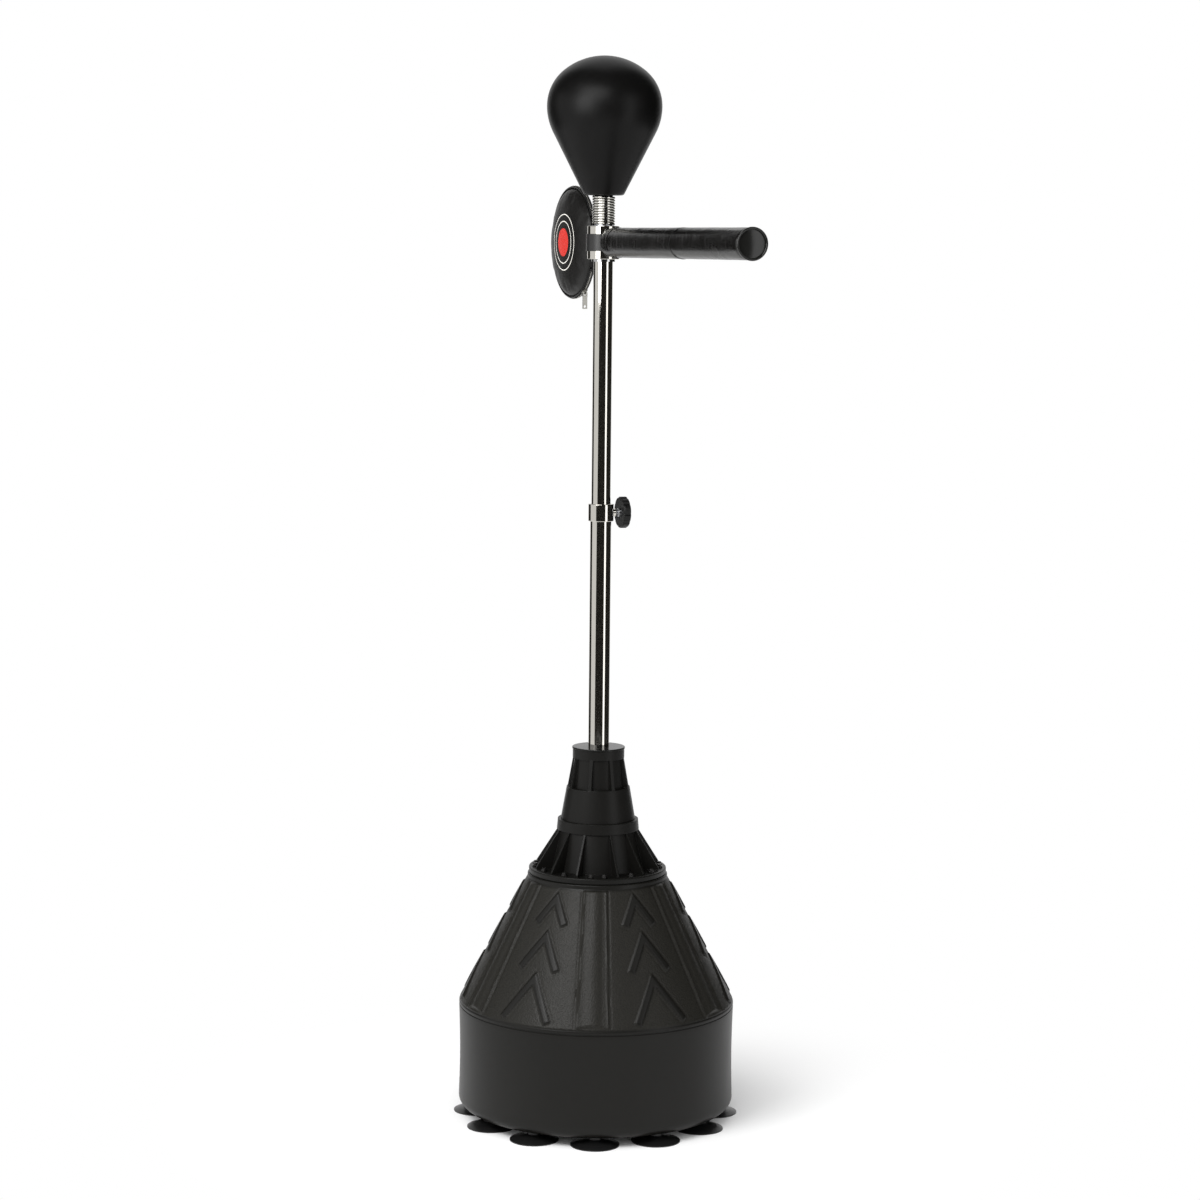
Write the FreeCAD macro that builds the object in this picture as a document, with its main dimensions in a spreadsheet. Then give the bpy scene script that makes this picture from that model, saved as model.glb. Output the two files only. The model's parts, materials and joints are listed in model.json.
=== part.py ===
import FreeCAD, Part
import math
import os
import Sketcher

"""Reflex speed-ball stand: fillable base, telescoping pole, spinning bar with target, ball on a spring.

Frame: millimetres, +Z up, origin on the floor on the pole's axis, at the centre of the ring of suction
cups. The front of the stand is -Y. A heading is the angle of a direction about +Z from +X, and a bearing
is measured from the front (-Y), positive towards +X.
"""

# ---------------------------------------------------------------------------------------------------
# Driving dimensions, in millimetres and degrees
# ---------------------------------------------------------------------------------------------------
SIZES = {
    # suction cups and their studs
    "cup_radius": 40.0, "cup_height": 16.0, "cup_inset": 31.5, "cup_neck_radius": 11.0,
    "cup_lip": 3.0, "cup_dome": 6.0, "stud_radius": 4.0, "stud_socket": 7.0, "boss_wall": 7.0,
    "boss_height": 20.0, "stud_reach": 12.0,
    # tank
    "tank_radius": 230.0, "tank_wall": 4.0, "tank_edge": 16.0, "drum_height": 179.0,
    "cone_height": 209.0, "lip_height": 7.0, "mouth_radius": 117.0, "mouth_land": 27.0,
    "mouth_depth": 14.0, "ledge_drop": 6.0,
    "strip_height": 3.0, "strip_angle": 14.0, "strip_bearing": -1.5,
    "chevron_relief": 2.6, "chevron_arm": 12.0, "chevron_spread": 12.3,
    # filler
    "filler_rise": 105.0, "filler_bore": 19.0, "filler_boss_wall": 10.0, "filler_boss_rise": 7.0,
    "seal_thickness": 1.6, "filler_cap_rim": 6.0, "filler_cap_height": 10.0,
    "filler_thread_length": 13.0, "filler_cap_wall": 3.0,
    # gasket, flange and lower neck
    "gasket_thickness": 1.5, "flange_setback": 2.4, "flange_thickness": 8.5, "neck_floor": 5.5,
    "flare_height": 64.0, "flare_foot_spread": 15.0, "neck_wall": 4.0, "collar_wall": 10.5,
    "collar_height": 17.0, "gusset_thickness": 3.5, "gusset_setback": 7.6,
    "screw_setback": 10.8, "flange_screw_radius": 2.5, "flange_screw_length": 22.0,
    "flange_screw_head": 4.6, "flange_screw_head_height": 3.0,
    # upper neck and its top disc
    "spigot_radius": 58.0, "spigot_shoulder": 4.0, "spigot_depth": 18.0, "band_height": 54.0,
    "band_taper": 9.4, "waist_step": 7.6, "waist_taper": 5.0, "neck_rib_height": 49.0,
    "crown_step": 3.0, "crown_height": 15.5, "rib_thickness": 6.0,
    "disc_overhang": 1.0, "disc_thickness": 3.0,
    # pole socket and its bolts
    "pole_sink": 12.5, "socket_wall": 2.5, "socket_length": 120.0, "socket_flange_width": 18.0,
    "socket_flange_thickness": 3.0, "socket_bolt_radius": 3.0,
    "socket_bolt_head": 5.0, "socket_nut_height": 5.0,
    # poles
    "upper_pole_radius": 16.0, "upper_pole_length": 620.0, "pole_overlap": 158.3,
    "lower_pole_length": 620.0, "pole_wall": 1.2,
    # height collar and knob
    "height_collar_wall": 3.5, "height_collar_height": 28.5, "height_collar_hood": 8.5,
    "knob_drop": 6.5, "knob_heading": 20.0, "knob_screw_radius": 3.0, "nut_boss_wall": 3.5,
    "nut_boss_length": 3.5, "knob_gap": 5.0, "knob_radius": 26.0, "knob_thickness": 12.0,
    "knob_insert_wall": 4.0, "knob_insert_length": 3.0,
    # hub and bearings
    "hub_wall": 2.5, "hub_height": 54.0, "hub_shoulder": 2.0, "bearing_height": 9.0,
    "bearing_section": 7.95, "bearing_inset": 2.0, "race_thickness": 2.45, "ball_land": 1.6,
    "stop_ring_wall": 3.45, "stop_ring_height": 6.0, "grub_radius": 2.0,
    "band_thickness": 2.0, "band_width": 28.0, "hub_heading": -68.5,
    # bar
    "bar_start": 38.0, "bar_length": 590.0, "bar_radius": 25.0, "bar_cover": 1.6, "bar_core_radius": 10.0,
    "bar_core_wall": 1.5, "bar_cap_length": 14.0, "bar_cap_plug": 20.0,
    # target
    "target_gap": 13.4, "target_radius": 92.0, "target_half": 20.5, "target_edge": 7.0,
    "target_cover": 1.2, "paddle_margin": 14.0, "paddle_thickness": 6.0,
    "zip_width": 6.0, "zip_thickness": 1.3, "zip_gap_angle": 56.0, "slider_angle": 32.0,
    "slider_length": 9.0, "slider_height": 2.6, "lug_height": 4.4, "pull_length": 26.0, "pull_width": 8.0,
    "pull_thickness": 1.6, "pull_pin_radius": 0.9,
    # spring and ball
    "spring_radius": 19.0, "spring_wire": 4.0, "spring_pitch": 4.75, "spring_seat": 3.0,
    "spring_height": 48.8, "plug_stem_length": 15.0,
    "ball_radius": 94.0, "ball_half_angle": 26.65, "ball_centre_rise": 143.8,
    "ball_cap_height": 81.2, "ball_shoulder": 74.0, "ball_wall": 3.0, "insert_margin": 3.0,
    "insert_spigot_radius": 10.0, "insert_spigot_length": 24.0,
    # clearances
    "fit_gap": 0.05, "slide_gap": 0.3, "glide_gap": 0.08,
}

CUP_COUNT = 12
PANEL_COUNT = 6
GUSSET_ANGLES = (18.5, 45.0, 71.5)          # in each quarter, measured from the front
NECK_RIB_COUNT = 8
NECK_RIB_START = -16.0
FLANGE_SCREW_ANGLES = (-6.0, 6.0, 31.75, 58.25)   # in each quarter, measured from the front
SOCKET_BOLT_COUNT = 4
BEARING_BALL_COUNT = 14
KNOB_LOBES = 10
CAP_GRIPS = 24
# each chevron: how far its apex and its feet stand above the shoulder of the tank
CHEVRONS = ((202.0, 155.5), (145.0, 87.0), (81.5, 10.5))

doc = FreeCAD.newDocument("reflex_ball_stand")
sheet = doc.addObject("Spreadsheet::Sheet", "dims")


# ---------------------------------------------------------------------------------------------------
# Sizes that carry both their number and the expression that binds them to the sheet
# ---------------------------------------------------------------------------------------------------
class Size:
    """A length or an angle with its value and its spreadsheet expression."""

    def __init__(self, value, text):
        self.value = float(value)
        self.text = text

    def joined(self, sign, other, value):
        right = other.text if isinstance(other, Size) else repr(float(other))
        return Size(value, "(%s %s %s)" % (self.text, sign, right))

    def __add__(self, other):
        return self.joined("+", other, self.value + number(other))

    def __radd__(self, other):
        return self + other

    def __sub__(self, other):
        return self.joined("-", other, self.value - number(other))

    def __rsub__(self, other):
        return Size(number(other), repr(float(other))) - self

    def __mul__(self, other):
        return self.joined("*", other, self.value * number(other))

    def __rmul__(self, other):
        return self * other

    def __truediv__(self, other):
        return self.joined("/", other, self.value / number(other))

    def __neg__(self):
        return self * -1.0


def number(size):
    """The plain value of a Size or of a number."""
    return size.value if isinstance(size, Size) else float(size)


class Sheet:
    """The driving dimensions as attributes, one Size for each alias of the spreadsheet."""

    def __init__(self, sizes):
        for row, (alias, value) in enumerate(sizes.items(), start=1):
            cell = "A%d" % row
            sheet.set(cell, str(value))
            sheet.setAlias(cell, alias)
            setattr(self, alias, Size(value, "dims." + alias))
        doc.recompute()


S = Sheet(SIZES)

# heights of the stack, from the floor up
TANK_FOOT_Z = S.cup_height
SHOULDER_Z = TANK_FOOT_Z + S.drum_height
CONE_TOP_Z = SHOULDER_Z + S.cone_height
MOUTH_Z = CONE_TOP_Z + S.lip_height
GASKET_TOP_Z = MOUTH_Z + S.gasket_thickness
FLANGE_TOP_Z = GASKET_TOP_Z + S.flange_thickness
COLLAR_Z = FLANGE_TOP_Z + S.flare_height
NECK_Z = COLLAR_Z + S.collar_height
BAND_TOP_Z = NECK_Z + S.band_height
CROWN_Z = BAND_TOP_Z + S.neck_rib_height
DISC_Z = CROWN_Z + S.crown_height
POLE_FOOT_Z = GASKET_TOP_Z - S.pole_sink
POLE_TOP_Z = POLE_FOOT_Z + S.lower_pole_length
HEIGHT_COLLAR_TOP_Z = POLE_TOP_Z + S.height_collar_hood
HEIGHT_COLLAR_FOOT_Z = HEIGHT_COLLAR_TOP_Z - S.height_collar_height
KNOB_Z = POLE_TOP_Z - S.knob_drop
UPPER_FOOT_Z = POLE_TOP_Z - S.pole_overlap
POLE_TIP_Z = UPPER_FOOT_Z + S.upper_pole_length
HUB_TOP_Z = POLE_TIP_Z + S.bearing_inset
HUB_FOOT_Z = HUB_TOP_Z - S.hub_height
HUB_Z = HUB_TOP_Z - S.hub_height / 2
LOWER_BEARING_Z = HUB_FOOT_Z + S.bearing_inset
UPPER_BEARING_Z = POLE_TIP_Z - S.bearing_height
SEAT_Z = POLE_TIP_Z + S.spring_seat
BALL_FOOT_Z = SEAT_Z + S.spring_height
BALL_CENTRE_Z = BALL_FOOT_Z + S.ball_centre_rise

# radii that follow from what fits what
LOWER_POLE_BORE = S.upper_pole_radius + S.slide_gap
LOWER_POLE_RADIUS = LOWER_POLE_BORE + S.pole_wall
UPPER_POLE_BORE = S.upper_pole_radius - S.pole_wall
POLE_CLEAR_BORE = LOWER_POLE_RADIUS + S.fit_gap
SOCKET_RADIUS = POLE_CLEAR_BORE + S.socket_wall
SOCKET_BOLT_CIRCLE = SOCKET_RADIUS + S.socket_flange_width / 2 + 1
HEIGHT_COLLAR_RADIUS = LOWER_POLE_RADIUS + S.height_collar_wall
CUP_CIRCLE = S.tank_radius - S.cup_inset
MOUTH_BORE = S.mouth_radius - S.mouth_land
FLANGE_RADIUS = S.mouth_radius - S.flange_setback
SCREW_CIRCLE = FLANGE_RADIUS - S.screw_setback
COLLAR_BORE = S.spigot_radius + S.fit_gap
COLLAR_RADIUS = S.spigot_radius + S.collar_wall
FLARE_TOP_RADIUS = COLLAR_RADIUS - 3.5
FLARE_FOOT_RADIUS = FLARE_TOP_RADIUS + S.flare_foot_spread
NECK_FOOT_RADIUS = S.spigot_radius + S.spigot_shoulder
BAND_TOP_RADIUS = NECK_FOOT_RADIUS - S.band_taper
WAIST_RADIUS = BAND_TOP_RADIUS - S.waist_step
WAIST_TOP_RADIUS = WAIST_RADIUS - S.waist_taper
CROWN_RADIUS = WAIST_TOP_RADIUS + S.crown_step
CONE_SLOPE = (S.tank_radius - S.mouth_radius) / S.cone_height
SHAFT_RADIUS = S.upper_pole_radius + S.fit_gap
RACE_INNER_RADIUS = SHAFT_RADIUS + S.race_thickness
BEARING_RADIUS = SHAFT_RADIUS + S.bearing_section
RACE_OUTER_RADIUS = BEARING_RADIUS - S.race_thickness - S.fit_gap
BALL_TRACK_RADIUS = (RACE_INNER_RADIUS + RACE_OUTER_RADIUS) / 2
BEARING_BALL_RADIUS = (RACE_OUTER_RADIUS - RACE_INNER_RADIUS) / 2 + S.ball_land / 2
HUB_RADIUS = BEARING_RADIUS + S.hub_wall
BAND_BORE = HUB_RADIUS + S.fit_gap
BAND_RADIUS = BAND_BORE + S.band_thickness
TARGET_OFFSET = BAND_RADIUS + S.target_gap + S.target_radius
ZIP_OUTER = S.target_radius + 0.1 + S.zip_thickness
STEM_RADIUS = S.spring_radius - S.spring_wire - 0.2
KNOB_INSERT_X = HEIGHT_COLLAR_RADIUS + S.nut_boss_length + S.knob_gap
KNOB_X = KNOB_INSERT_X + S.knob_insert_length
FILLER_CAP_RADIUS = S.filler_bore + S.filler_cap_rim

NO_INSET = Size(0.0, "0")

Z_AXIS = FreeCAD.Vector(0, 0, 1)
Y_AXIS = FreeCAD.Vector(0, 1, 0)
X_AXIS = FreeCAD.Vector(1, 0, 0)
START, END, CENTRE = 1, 2, 3                # the points of a sketch's curve
V_LINE = -2                                 # the upright axis of a sketch
NODES = []


# ---------------------------------------------------------------------------------------------------
# Helpers for frames, sketches and features
# ---------------------------------------------------------------------------------------------------
def moved(x=0.0, y=0.0, z=0.0, axis=Z_AXIS, angle=0.0):
    """A placement from a place and a turn about an axis."""
    place = FreeCAD.Vector(number(x), number(y), number(z))
    return FreeCAD.Placement(place, FreeCAD.Rotation(axis, number(angle)))


def hub_frame():
    """The turning hub's frame: its X runs along the bar."""
    return moved(z=HUB_Z, angle=S.hub_heading)


def knob_frame():
    """The knob's frame: its X runs outwards along the knob screw."""
    return moved(z=KNOB_Z, angle=S.knob_heading)


def along_x(frame, x=0.0):
    """The frame whose Z runs along the X of the given frame, starting at x."""
    return frame.multiply(moved(x=x, axis=Y_AXIS, angle=90))


def filler_frame():
    """The frame of the filler: its Z is square to the cone at the rear strip."""
    rise = number(S.filler_rise)
    lean = math.degrees(math.atan(number(CONE_SLOPE)))
    radius = number(S.tank_radius) - rise * number(CONE_SLOPE)
    bearing = moved(angle=number(S.strip_bearing) + 90)
    seat = moved(x=radius, z=number(SHOULDER_Z) + rise, axis=Y_AXIS, angle=90 - lean)
    return bearing.multiply(seat)


def node(obj, label):
    """Name an object as a finished sub-part."""
    obj.Label = label
    NODES.append(obj)
    return obj


def new_body(label):
    body = doc.addObject("PartDesign::Body", label)
    body.Label = label
    return body


def new_sketch(body, role, label):
    """A sketch on one of the body's own origin planes."""
    sketch = body.newObject("Sketcher::SketchObject", label)
    plane = [item for item in body.Origin.OriginFeatures if item.Role == role][0]
    sketch.AttachmentSupport = (plane, [""])
    sketch.MapMode = "FlatFace"
    return sketch


def pin_point(sketch, line, end, u, v):
    """Tie one end of a line to the sketch's origin with distances bound to the sheet."""
    for kind, size, axis in (("DistanceX", u, V_LINE), ("DistanceY", v, -1)):
        if abs(number(size)) < 1e-9:
            sketch.addConstraint(Sketcher.Constraint("PointOnObject", line, end, axis))
            continue
        constraint = Sketcher.Constraint(kind, -1, 1, line, end, number(size))
        index = sketch.addConstraint(constraint)
        if isinstance(size, Size):
            sketch.setExpression("Constraints[%d]" % index, size.text)


def draw_outline(sketch, corners):
    """Draw a closed outline of straight lines through corners given as (u, v) sizes."""
    count = len(corners)
    points = [FreeCAD.Vector(number(u), number(v), 0) for u, v in corners]
    first = sketch.GeometryCount
    for index in range(count):
        segment = Part.LineSegment(points[index], points[(index + 1) % count])
        sketch.addGeometry(segment, False)
    for index in range(count):
        after = first + (index + 1) % count
        sketch.addConstraint(Sketcher.Constraint("Coincident", first + index, 2, after, 1))
    for index, (u, v) in enumerate(corners):
        pin_point(sketch, first + index, 1, u, v)


def add_arc(sketch, centre, radius, start, end):
    """Add an arc of a circle, its ends given in degrees, counter-clockwise."""
    u, v = centre
    circle = Part.Circle(FreeCAD.Vector(u, v, 0), Z_AXIS, radius)
    arc = Part.ArcOfCircle(circle, math.radians(start), math.radians(end))
    return sketch.addGeometry(arc, False)


def add_line(sketch, start, end):
    first = FreeCAD.Vector(start[0], start[1], 0)
    last = FreeCAD.Vector(end[0], end[1], 0)
    return sketch.addGeometry(Part.LineSegment(first, last), False)


def join(sketch, kind, first, first_end, second, second_end):
    """Join two curves end to end, as Coincident or Tangent."""
    sketch.addConstraint(Sketcher.Constraint(kind, first, first_end, second, second_end))


def set_radius(sketch, arc, size):
    index = sketch.addConstraint(Sketcher.Constraint("Radius", arc, number(size)))
    sketch.setExpression("Constraints[%d]" % index, size.text)


def set_height(sketch, curve, point, size):
    """Hold a point of a curve at a height, and leave its distance from the axis free."""
    constraint = Sketcher.Constraint("DistanceY", -1, 1, curve, point, number(size))
    index = sketch.addConstraint(constraint)
    sketch.setExpression("Constraints[%d]" % index, size.text)


def put_on_axis(sketch, curve, point):
    sketch.addConstraint(Sketcher.Constraint("PointOnObject", curve, point, V_LINE))


def turn_sketch(body, label, sketch):
    """Revolve a finished sketch a full turn about its upright axis."""
    turn = body.newObject("PartDesign::Revolution", label + "_turn")
    turn.Profile = sketch
    turn.ReferenceAxis = (sketch, ["V_Axis"])
    turn.Angle = 360
    body.Tip = turn
    doc.recompute()
    return turn


def turned_body(label, corners, angle=None):
    """A body turned about Z from an outline of (radius, height) corners."""
    body = new_body(label)
    add_turned(body, label, corners, angle)
    return body


def add_turned(body, label, corners, angle=None):
    """Add a revolution about Z to a body, over a full turn or a middle angle about +X."""
    sketch = new_sketch(body, "XZ_Plane", label + "_profile")
    draw_outline(sketch, corners)
    turn = body.newObject("PartDesign::Revolution", label + "_turn")
    turn.Profile = sketch
    turn.ReferenceAxis = (sketch, ["V_Axis"])
    turn.Angle = 360
    if angle is not None:
        turn.Midplane = True
        turn.Angle = number(angle)
        turn.setExpression("Angle", angle.text)
    body.Tip = turn
    doc.recompute()
    return turn


def add_pad(body, label, corners, thickness, bearing=0.0):
    """Add a plate of an (x, z) outline, centred on the plane that stands at a bearing about Z."""
    sketch = new_sketch(body, "XZ_Plane", label + "_outline")
    sketch.AttachmentOffset = moved(axis=Y_AXIS, angle=bearing)
    draw_outline(sketch, corners)
    pad = body.newObject("PartDesign::Pad", label)
    pad.Profile = sketch
    pad.Midplane = True
    pad.Length = number(thickness)
    pad.setExpression("Length", thickness.text)
    body.Tip = pad
    doc.recompute()
    return pad


def add_ring_pattern(body, label, features, count):
    """Repeat features evenly about the body's Z axis."""
    axis = [item for item in body.Origin.OriginFeatures if item.Role == "Z_Axis"][0]
    pattern = body.newObject("PartDesign::PolarPattern", label)
    pattern.Originals = features
    pattern.Axis = (axis, [""])
    pattern.Angle = 360
    pattern.Occurrences = count
    body.Tip = pattern
    doc.recompute()
    return pattern


def round_rings(body, label, rings, radius):
    """Fillet the circular edges that lie at the given (radius, height) places."""
    base = body.Tip
    names = []
    for index, edge in enumerate(base.Shape.Edges, start=1):
        curve = edge.Curve
        if curve.TypeId != "Part::GeomCircle":
            continue
        for ring_radius, height in rings:
            same_radius = abs(curve.Radius - number(ring_radius)) < 0.01
            if same_radius and abs(curve.Center.z - number(height)) < 0.01:
                names.append("Edge%d" % index)
    fillet = body.newObject("PartDesign::Fillet", label)
    fillet.Base = (base, names)
    fillet.Radius = number(radius)
    if isinstance(radius, Size):
        fillet.setExpression("Radius", radius.text)
    body.Tip = fillet
    doc.recompute()
    return fillet


def bind(obj, name, size):
    """Set a property and bind it to the sheet where it is a Size."""
    setattr(obj, name, number(size))
    if isinstance(size, Size):
        obj.setExpression(name, size.text)


def cylinder(label, radius, height, place=None):
    obj = doc.addObject("Part::Cylinder", label)
    bind(obj, "Radius", radius)
    bind(obj, "Height", height)
    obj.Placement = place or moved()
    return obj


def box(label, length, width, height, place=None):
    """A box centred on its frame in X and Y, standing on it in Z."""
    obj = doc.addObject("Part::Box", label)
    bind(obj, "Length", length)
    bind(obj, "Width", width)
    bind(obj, "Height", height)
    corner = moved(x=-number(length) / 2, y=-number(width) / 2)
    obj.Placement = (place or moved()).multiply(corner)
    return obj


def cut(label, base, tool):
    obj = doc.addObject("Part::Cut", label)
    obj.Base = base
    obj.Tool = tool
    return obj


def fuse(label, shapes):
    obj = doc.addObject("Part::MultiFuse", label)
    obj.Shapes = shapes
    obj.Refine = True
    return obj


def copies(label, master, places):
    """Separate solids of one shape at several placements, as one object."""
    doc.recompute()
    solids = []
    for place in places:
        solid = master.Shape.copy()
        solid.Placement = place.multiply(solid.Placement)
        solids.append(solid)
    group = doc.addObject("Part::Feature", label)
    group.Shape = Part.makeCompound(solids)
    return group


def bearings(start, count):
    """Turns about Z to evenly spaced bearings, for shapes made at the front (-Y)."""
    return [moved(angle=start + index * 360.0 / count) for index in range(count)]


# ---------------------------------------------------------------------------------------------------
# Base: suction cups, tank, filler
# ---------------------------------------------------------------------------------------------------
def build_suction_cups():
    neck = S.cup_neck_radius
    socket = S.stud_radius + S.fit_gap
    profile = [
        (0, S.cup_dome), (S.cup_radius * 0.4, S.cup_dome * 0.8), (S.cup_radius - S.cup_lip, 0),
        (S.cup_radius, 0), (S.cup_radius, 1.6), (S.cup_radius * 0.75, 5.4),
        (neck + 3, S.cup_dome + 3), (neck, S.cup_dome + 4.5), (neck, S.cup_height),
        (socket, S.cup_height), (socket, S.cup_height - S.stud_socket),
        (0, S.cup_height - S.stud_socket),
    ]
    for index, turn in enumerate(bearings(0.0, CUP_COUNT), start=1):
        label = "suction_cup_%02d" % index
        cup = turned_body(label, profile)
        cup.Placement = turn.multiply(moved(y=-CUP_CIRCLE))
        node(cup, label)
    foot = S.cup_height - S.stud_socket
    length = S.stud_socket + S.stud_reach
    stud = cylinder("stud", S.stud_radius, length, moved(y=-CUP_CIRCLE, z=foot))
    node(copies("cup_studs", stud, bearings(0.0, CUP_COUNT)), "cup_studs")


def cone_skin(outwards, inwards):
    """The outline of a thin conical skin along the tank's cone, from one offset to another."""
    foot = SHOULDER_Z + 2
    top = CONE_TOP_Z - 1
    foot_radius = S.tank_radius - CONE_SLOPE * 2
    top_radius = S.mouth_radius + CONE_SLOPE
    return [
        (foot_radius - inwards, foot), (foot_radius + outwards, foot),
        (top_radius + outwards, top), (top_radius - inwards, top),
    ]


def build_tank_shell():
    wall = S.tank_wall
    shell = turned_body("tank_shell", [
        (0, TANK_FOOT_Z), (S.tank_radius, TANK_FOOT_Z),
        (S.tank_radius, SHOULDER_Z - S.ledge_drop), (S.tank_radius - 1.2, SHOULDER_Z - S.ledge_drop + 1.2),
        (S.tank_radius, SHOULDER_Z), (S.mouth_radius, CONE_TOP_Z),
        (S.mouth_radius, MOUTH_Z), (MOUTH_BORE, MOUTH_Z), (MOUTH_BORE, MOUTH_Z - S.mouth_depth),
        (S.mouth_radius - wall, MOUTH_Z - S.mouth_depth), (S.tank_radius - wall - 1.5, SHOULDER_Z),
        (S.tank_radius - wall, SHOULDER_Z - S.ledge_drop * 2), (S.tank_radius - wall, TANK_FOOT_Z + wall),
        (0, TANK_FOOT_Z + wall),
    ])
    round_rings(shell, "tank_foot_round", [(S.tank_radius, TANK_FOOT_Z)], S.tank_edge)
    inside = [(S.tank_radius - wall, TANK_FOOT_Z + wall)]
    round_rings(shell, "tank_inside_round", inside, S.tank_edge - wall)
    strip = add_turned(shell, "strip", cone_skin(S.strip_height, 1.0), S.strip_angle)
    add_ring_pattern(shell, "strips", [strip], PANEL_COUNT)
    shell.Placement = moved(angle=number(S.strip_bearing) - 90)
    return shell


def chevron_outline(apex, foot):
    """A chevron on the flattened panel: x across, y down the slope from the shoulder upwards."""
    lean = math.atan(number(CONE_SLOPE))
    radius = number(S.tank_radius) - number(CONE_SLOPE) * foot
    half = radius * math.sin(math.radians(number(S.chevron_spread)))
    top = apex / math.cos(lean)
    low = foot / math.cos(lean)
    arm = number(S.chevron_arm)
    reach = math.hypot(half, top - low)
    drop = arm * reach / half
    across = arm * (top - low) / reach
    along = arm * half / reach
    points = [
        (0, top), (half, low), (half - across, low - along), (0, top - drop),
        (across - half, low - along), (-half, low),
    ]
    return [FreeCAD.Vector(x, y, -12) for x, y in points]


def build_chevrons():
    """The raised chevrons of all panels: prisms trimmed to a thin skin over the cone."""
    skin = turned_body("chevron_skin", cone_skin(S.chevron_relief, 1.0))
    doc.recompute()
    lean = math.degrees(math.atan(number(CONE_SLOPE)))
    solids = []
    for apex, foot in CHEVRONS:
        outline = chevron_outline(apex, foot)
        wire = Part.makePolygon(outline + [outline[0]])
        prism = Part.Face(wire).extrude(FreeCAD.Vector(0, 0, 24))
        # the panel's plane stands at the front, leaning back with the cone
        lay = moved(y=-S.tank_radius, z=SHOULDER_Z, axis=X_AXIS, angle=90 - lean)
        prism.Placement = lay
        raised = prism.common(skin.Shape)
        for panel in range(PANEL_COUNT):
            bearing = number(S.strip_bearing) + 30 + panel * 360.0 / PANEL_COUNT
            turned = raised.copy()
            turned.Placement = moved(angle=bearing).multiply(turned.Placement)
            solids.append(turned)
    chevrons = doc.addObject("Part::Feature", "chevrons")
    chevrons.Shape = Part.makeCompound(solids)
    return chevrons


def build_tank():
    shell = build_tank_shell()
    chevrons = build_chevrons()
    boss = cylinder("stud_boss", S.stud_radius + S.boss_wall, S.boss_height)
    boss.Placement = moved(y=-CUP_CIRCLE, z=TANK_FOOT_Z + S.tank_wall / 2)
    bosses = copies("stud_bosses", boss, bearings(0.0, CUP_COUNT))
    frame = filler_frame()
    sunk = S.filler_boss_rise + S.tank_wall
    seat = cylinder("filler_boss", S.filler_bore + S.filler_boss_wall, sunk + 6)
    seat.Placement = frame.multiply(moved(z=-S.tank_wall - 6))
    whole = fuse("tank_with_bosses", [shell, chevrons, bosses, seat])
    bore = cylinder("filler_hole", S.filler_bore, sunk + 40)
    bore.Placement = frame.multiply(moved(z=-30))
    hole = cylinder("stud_hole", S.stud_radius + S.fit_gap, S.stud_reach)
    hole.Placement = moved(y=-CUP_CIRCLE, z=TANK_FOOT_Z)
    holes = copies("stud_holes", hole, bearings(0.0, CUP_COUNT))
    screw = cylinder("flange_screw_hole", S.flange_screw_radius + S.fit_gap, S.flange_screw_length)
    screw.Placement = moved(y=-SCREW_CIRCLE, z=FLANGE_TOP_Z - S.flange_screw_length)
    screw_holes = copies("flange_screw_holes", screw, flange_screw_places())
    tools = fuse("tank_cutters", [bore, holes, screw_holes])
    tank = cut("base_tank", whole, tools)
    node(tank, "base_tank")


def build_filler():
    frame = filler_frame()
    bore = S.filler_bore + S.fit_gap
    # the cap turns just clear of the seal
    seal_top = S.seal_thickness - S.fit_gap
    seal = turned_body("filler_seal", [
        (bore, 0), (FILLER_CAP_RADIUS - 1, 0), (FILLER_CAP_RADIUS - 1, seal_top), (bore, seal_top),
    ])
    seal.Placement = frame.multiply(moved(z=S.filler_boss_rise))
    node(seal, "filler_seal")
    thread = S.filler_bore - 0.08
    cap = turned_body("filler_cap_blank", [
        (0, 0), (FILLER_CAP_RADIUS, 0), (FILLER_CAP_RADIUS, S.filler_cap_height),
        (0, S.filler_cap_height),
    ])
    spigot = turned_body("filler_cap_spigot", [
        (thread - S.filler_cap_wall, -S.filler_thread_length), (thread, -S.filler_thread_length),
        (thread, 0.5), (thread - S.filler_cap_wall, 0.5),
    ])
    round_rings(cap, "filler_cap_round", [(FILLER_CAP_RADIUS, S.filler_cap_height)], 2.0)
    blank = fuse("filler_cap_turned", [cap, spigot])
    grip = cylinder("cap_grip", 1.6, S.filler_cap_height, moved(y=-FILLER_CAP_RADIUS - 0.6, z=-0.5))
    grips = copies("cap_grips", grip, bearings(0.0, CAP_GRIPS))
    filler_cap = cut("filler_cap", blank, grips)
    filler_cap.Placement = frame.multiply(moved(z=S.filler_boss_rise + S.seal_thickness))
    node(filler_cap, "filler_cap")


# ---------------------------------------------------------------------------------------------------
# Neck: gasket, flanged lower neck, upper neck, pole socket
# ---------------------------------------------------------------------------------------------------
def flange_screw_places():
    places = []
    for quarter in range(4):
        for angle in FLANGE_SCREW_ANGLES:
            places.append(moved(angle=quarter * 90 + angle))
    return places


def build_gasket():
    ring = turned_body("gasket_ring", [
        (MOUTH_BORE, MOUTH_Z), (FLANGE_RADIUS - 3, MOUTH_Z), (FLANGE_RADIUS - 3, GASKET_TOP_Z),
        (MOUTH_BORE, GASKET_TOP_Z),
    ])
    node(cut("mouth_gasket", ring, screw_tools("gasket_screw_holes")), "mouth_gasket")


def screw_tools(label):
    """Clearance cylinders for all the flange screws."""
    tool = cylinder(label + "_tool", S.flange_screw_radius + S.fit_gap, S.flange_screw_length * 2)
    tool.Placement = moved(y=-SCREW_CIRCLE, z=FLANGE_TOP_Z - S.flange_screw_length)
    return copies(label, tool, flange_screw_places())


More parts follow.
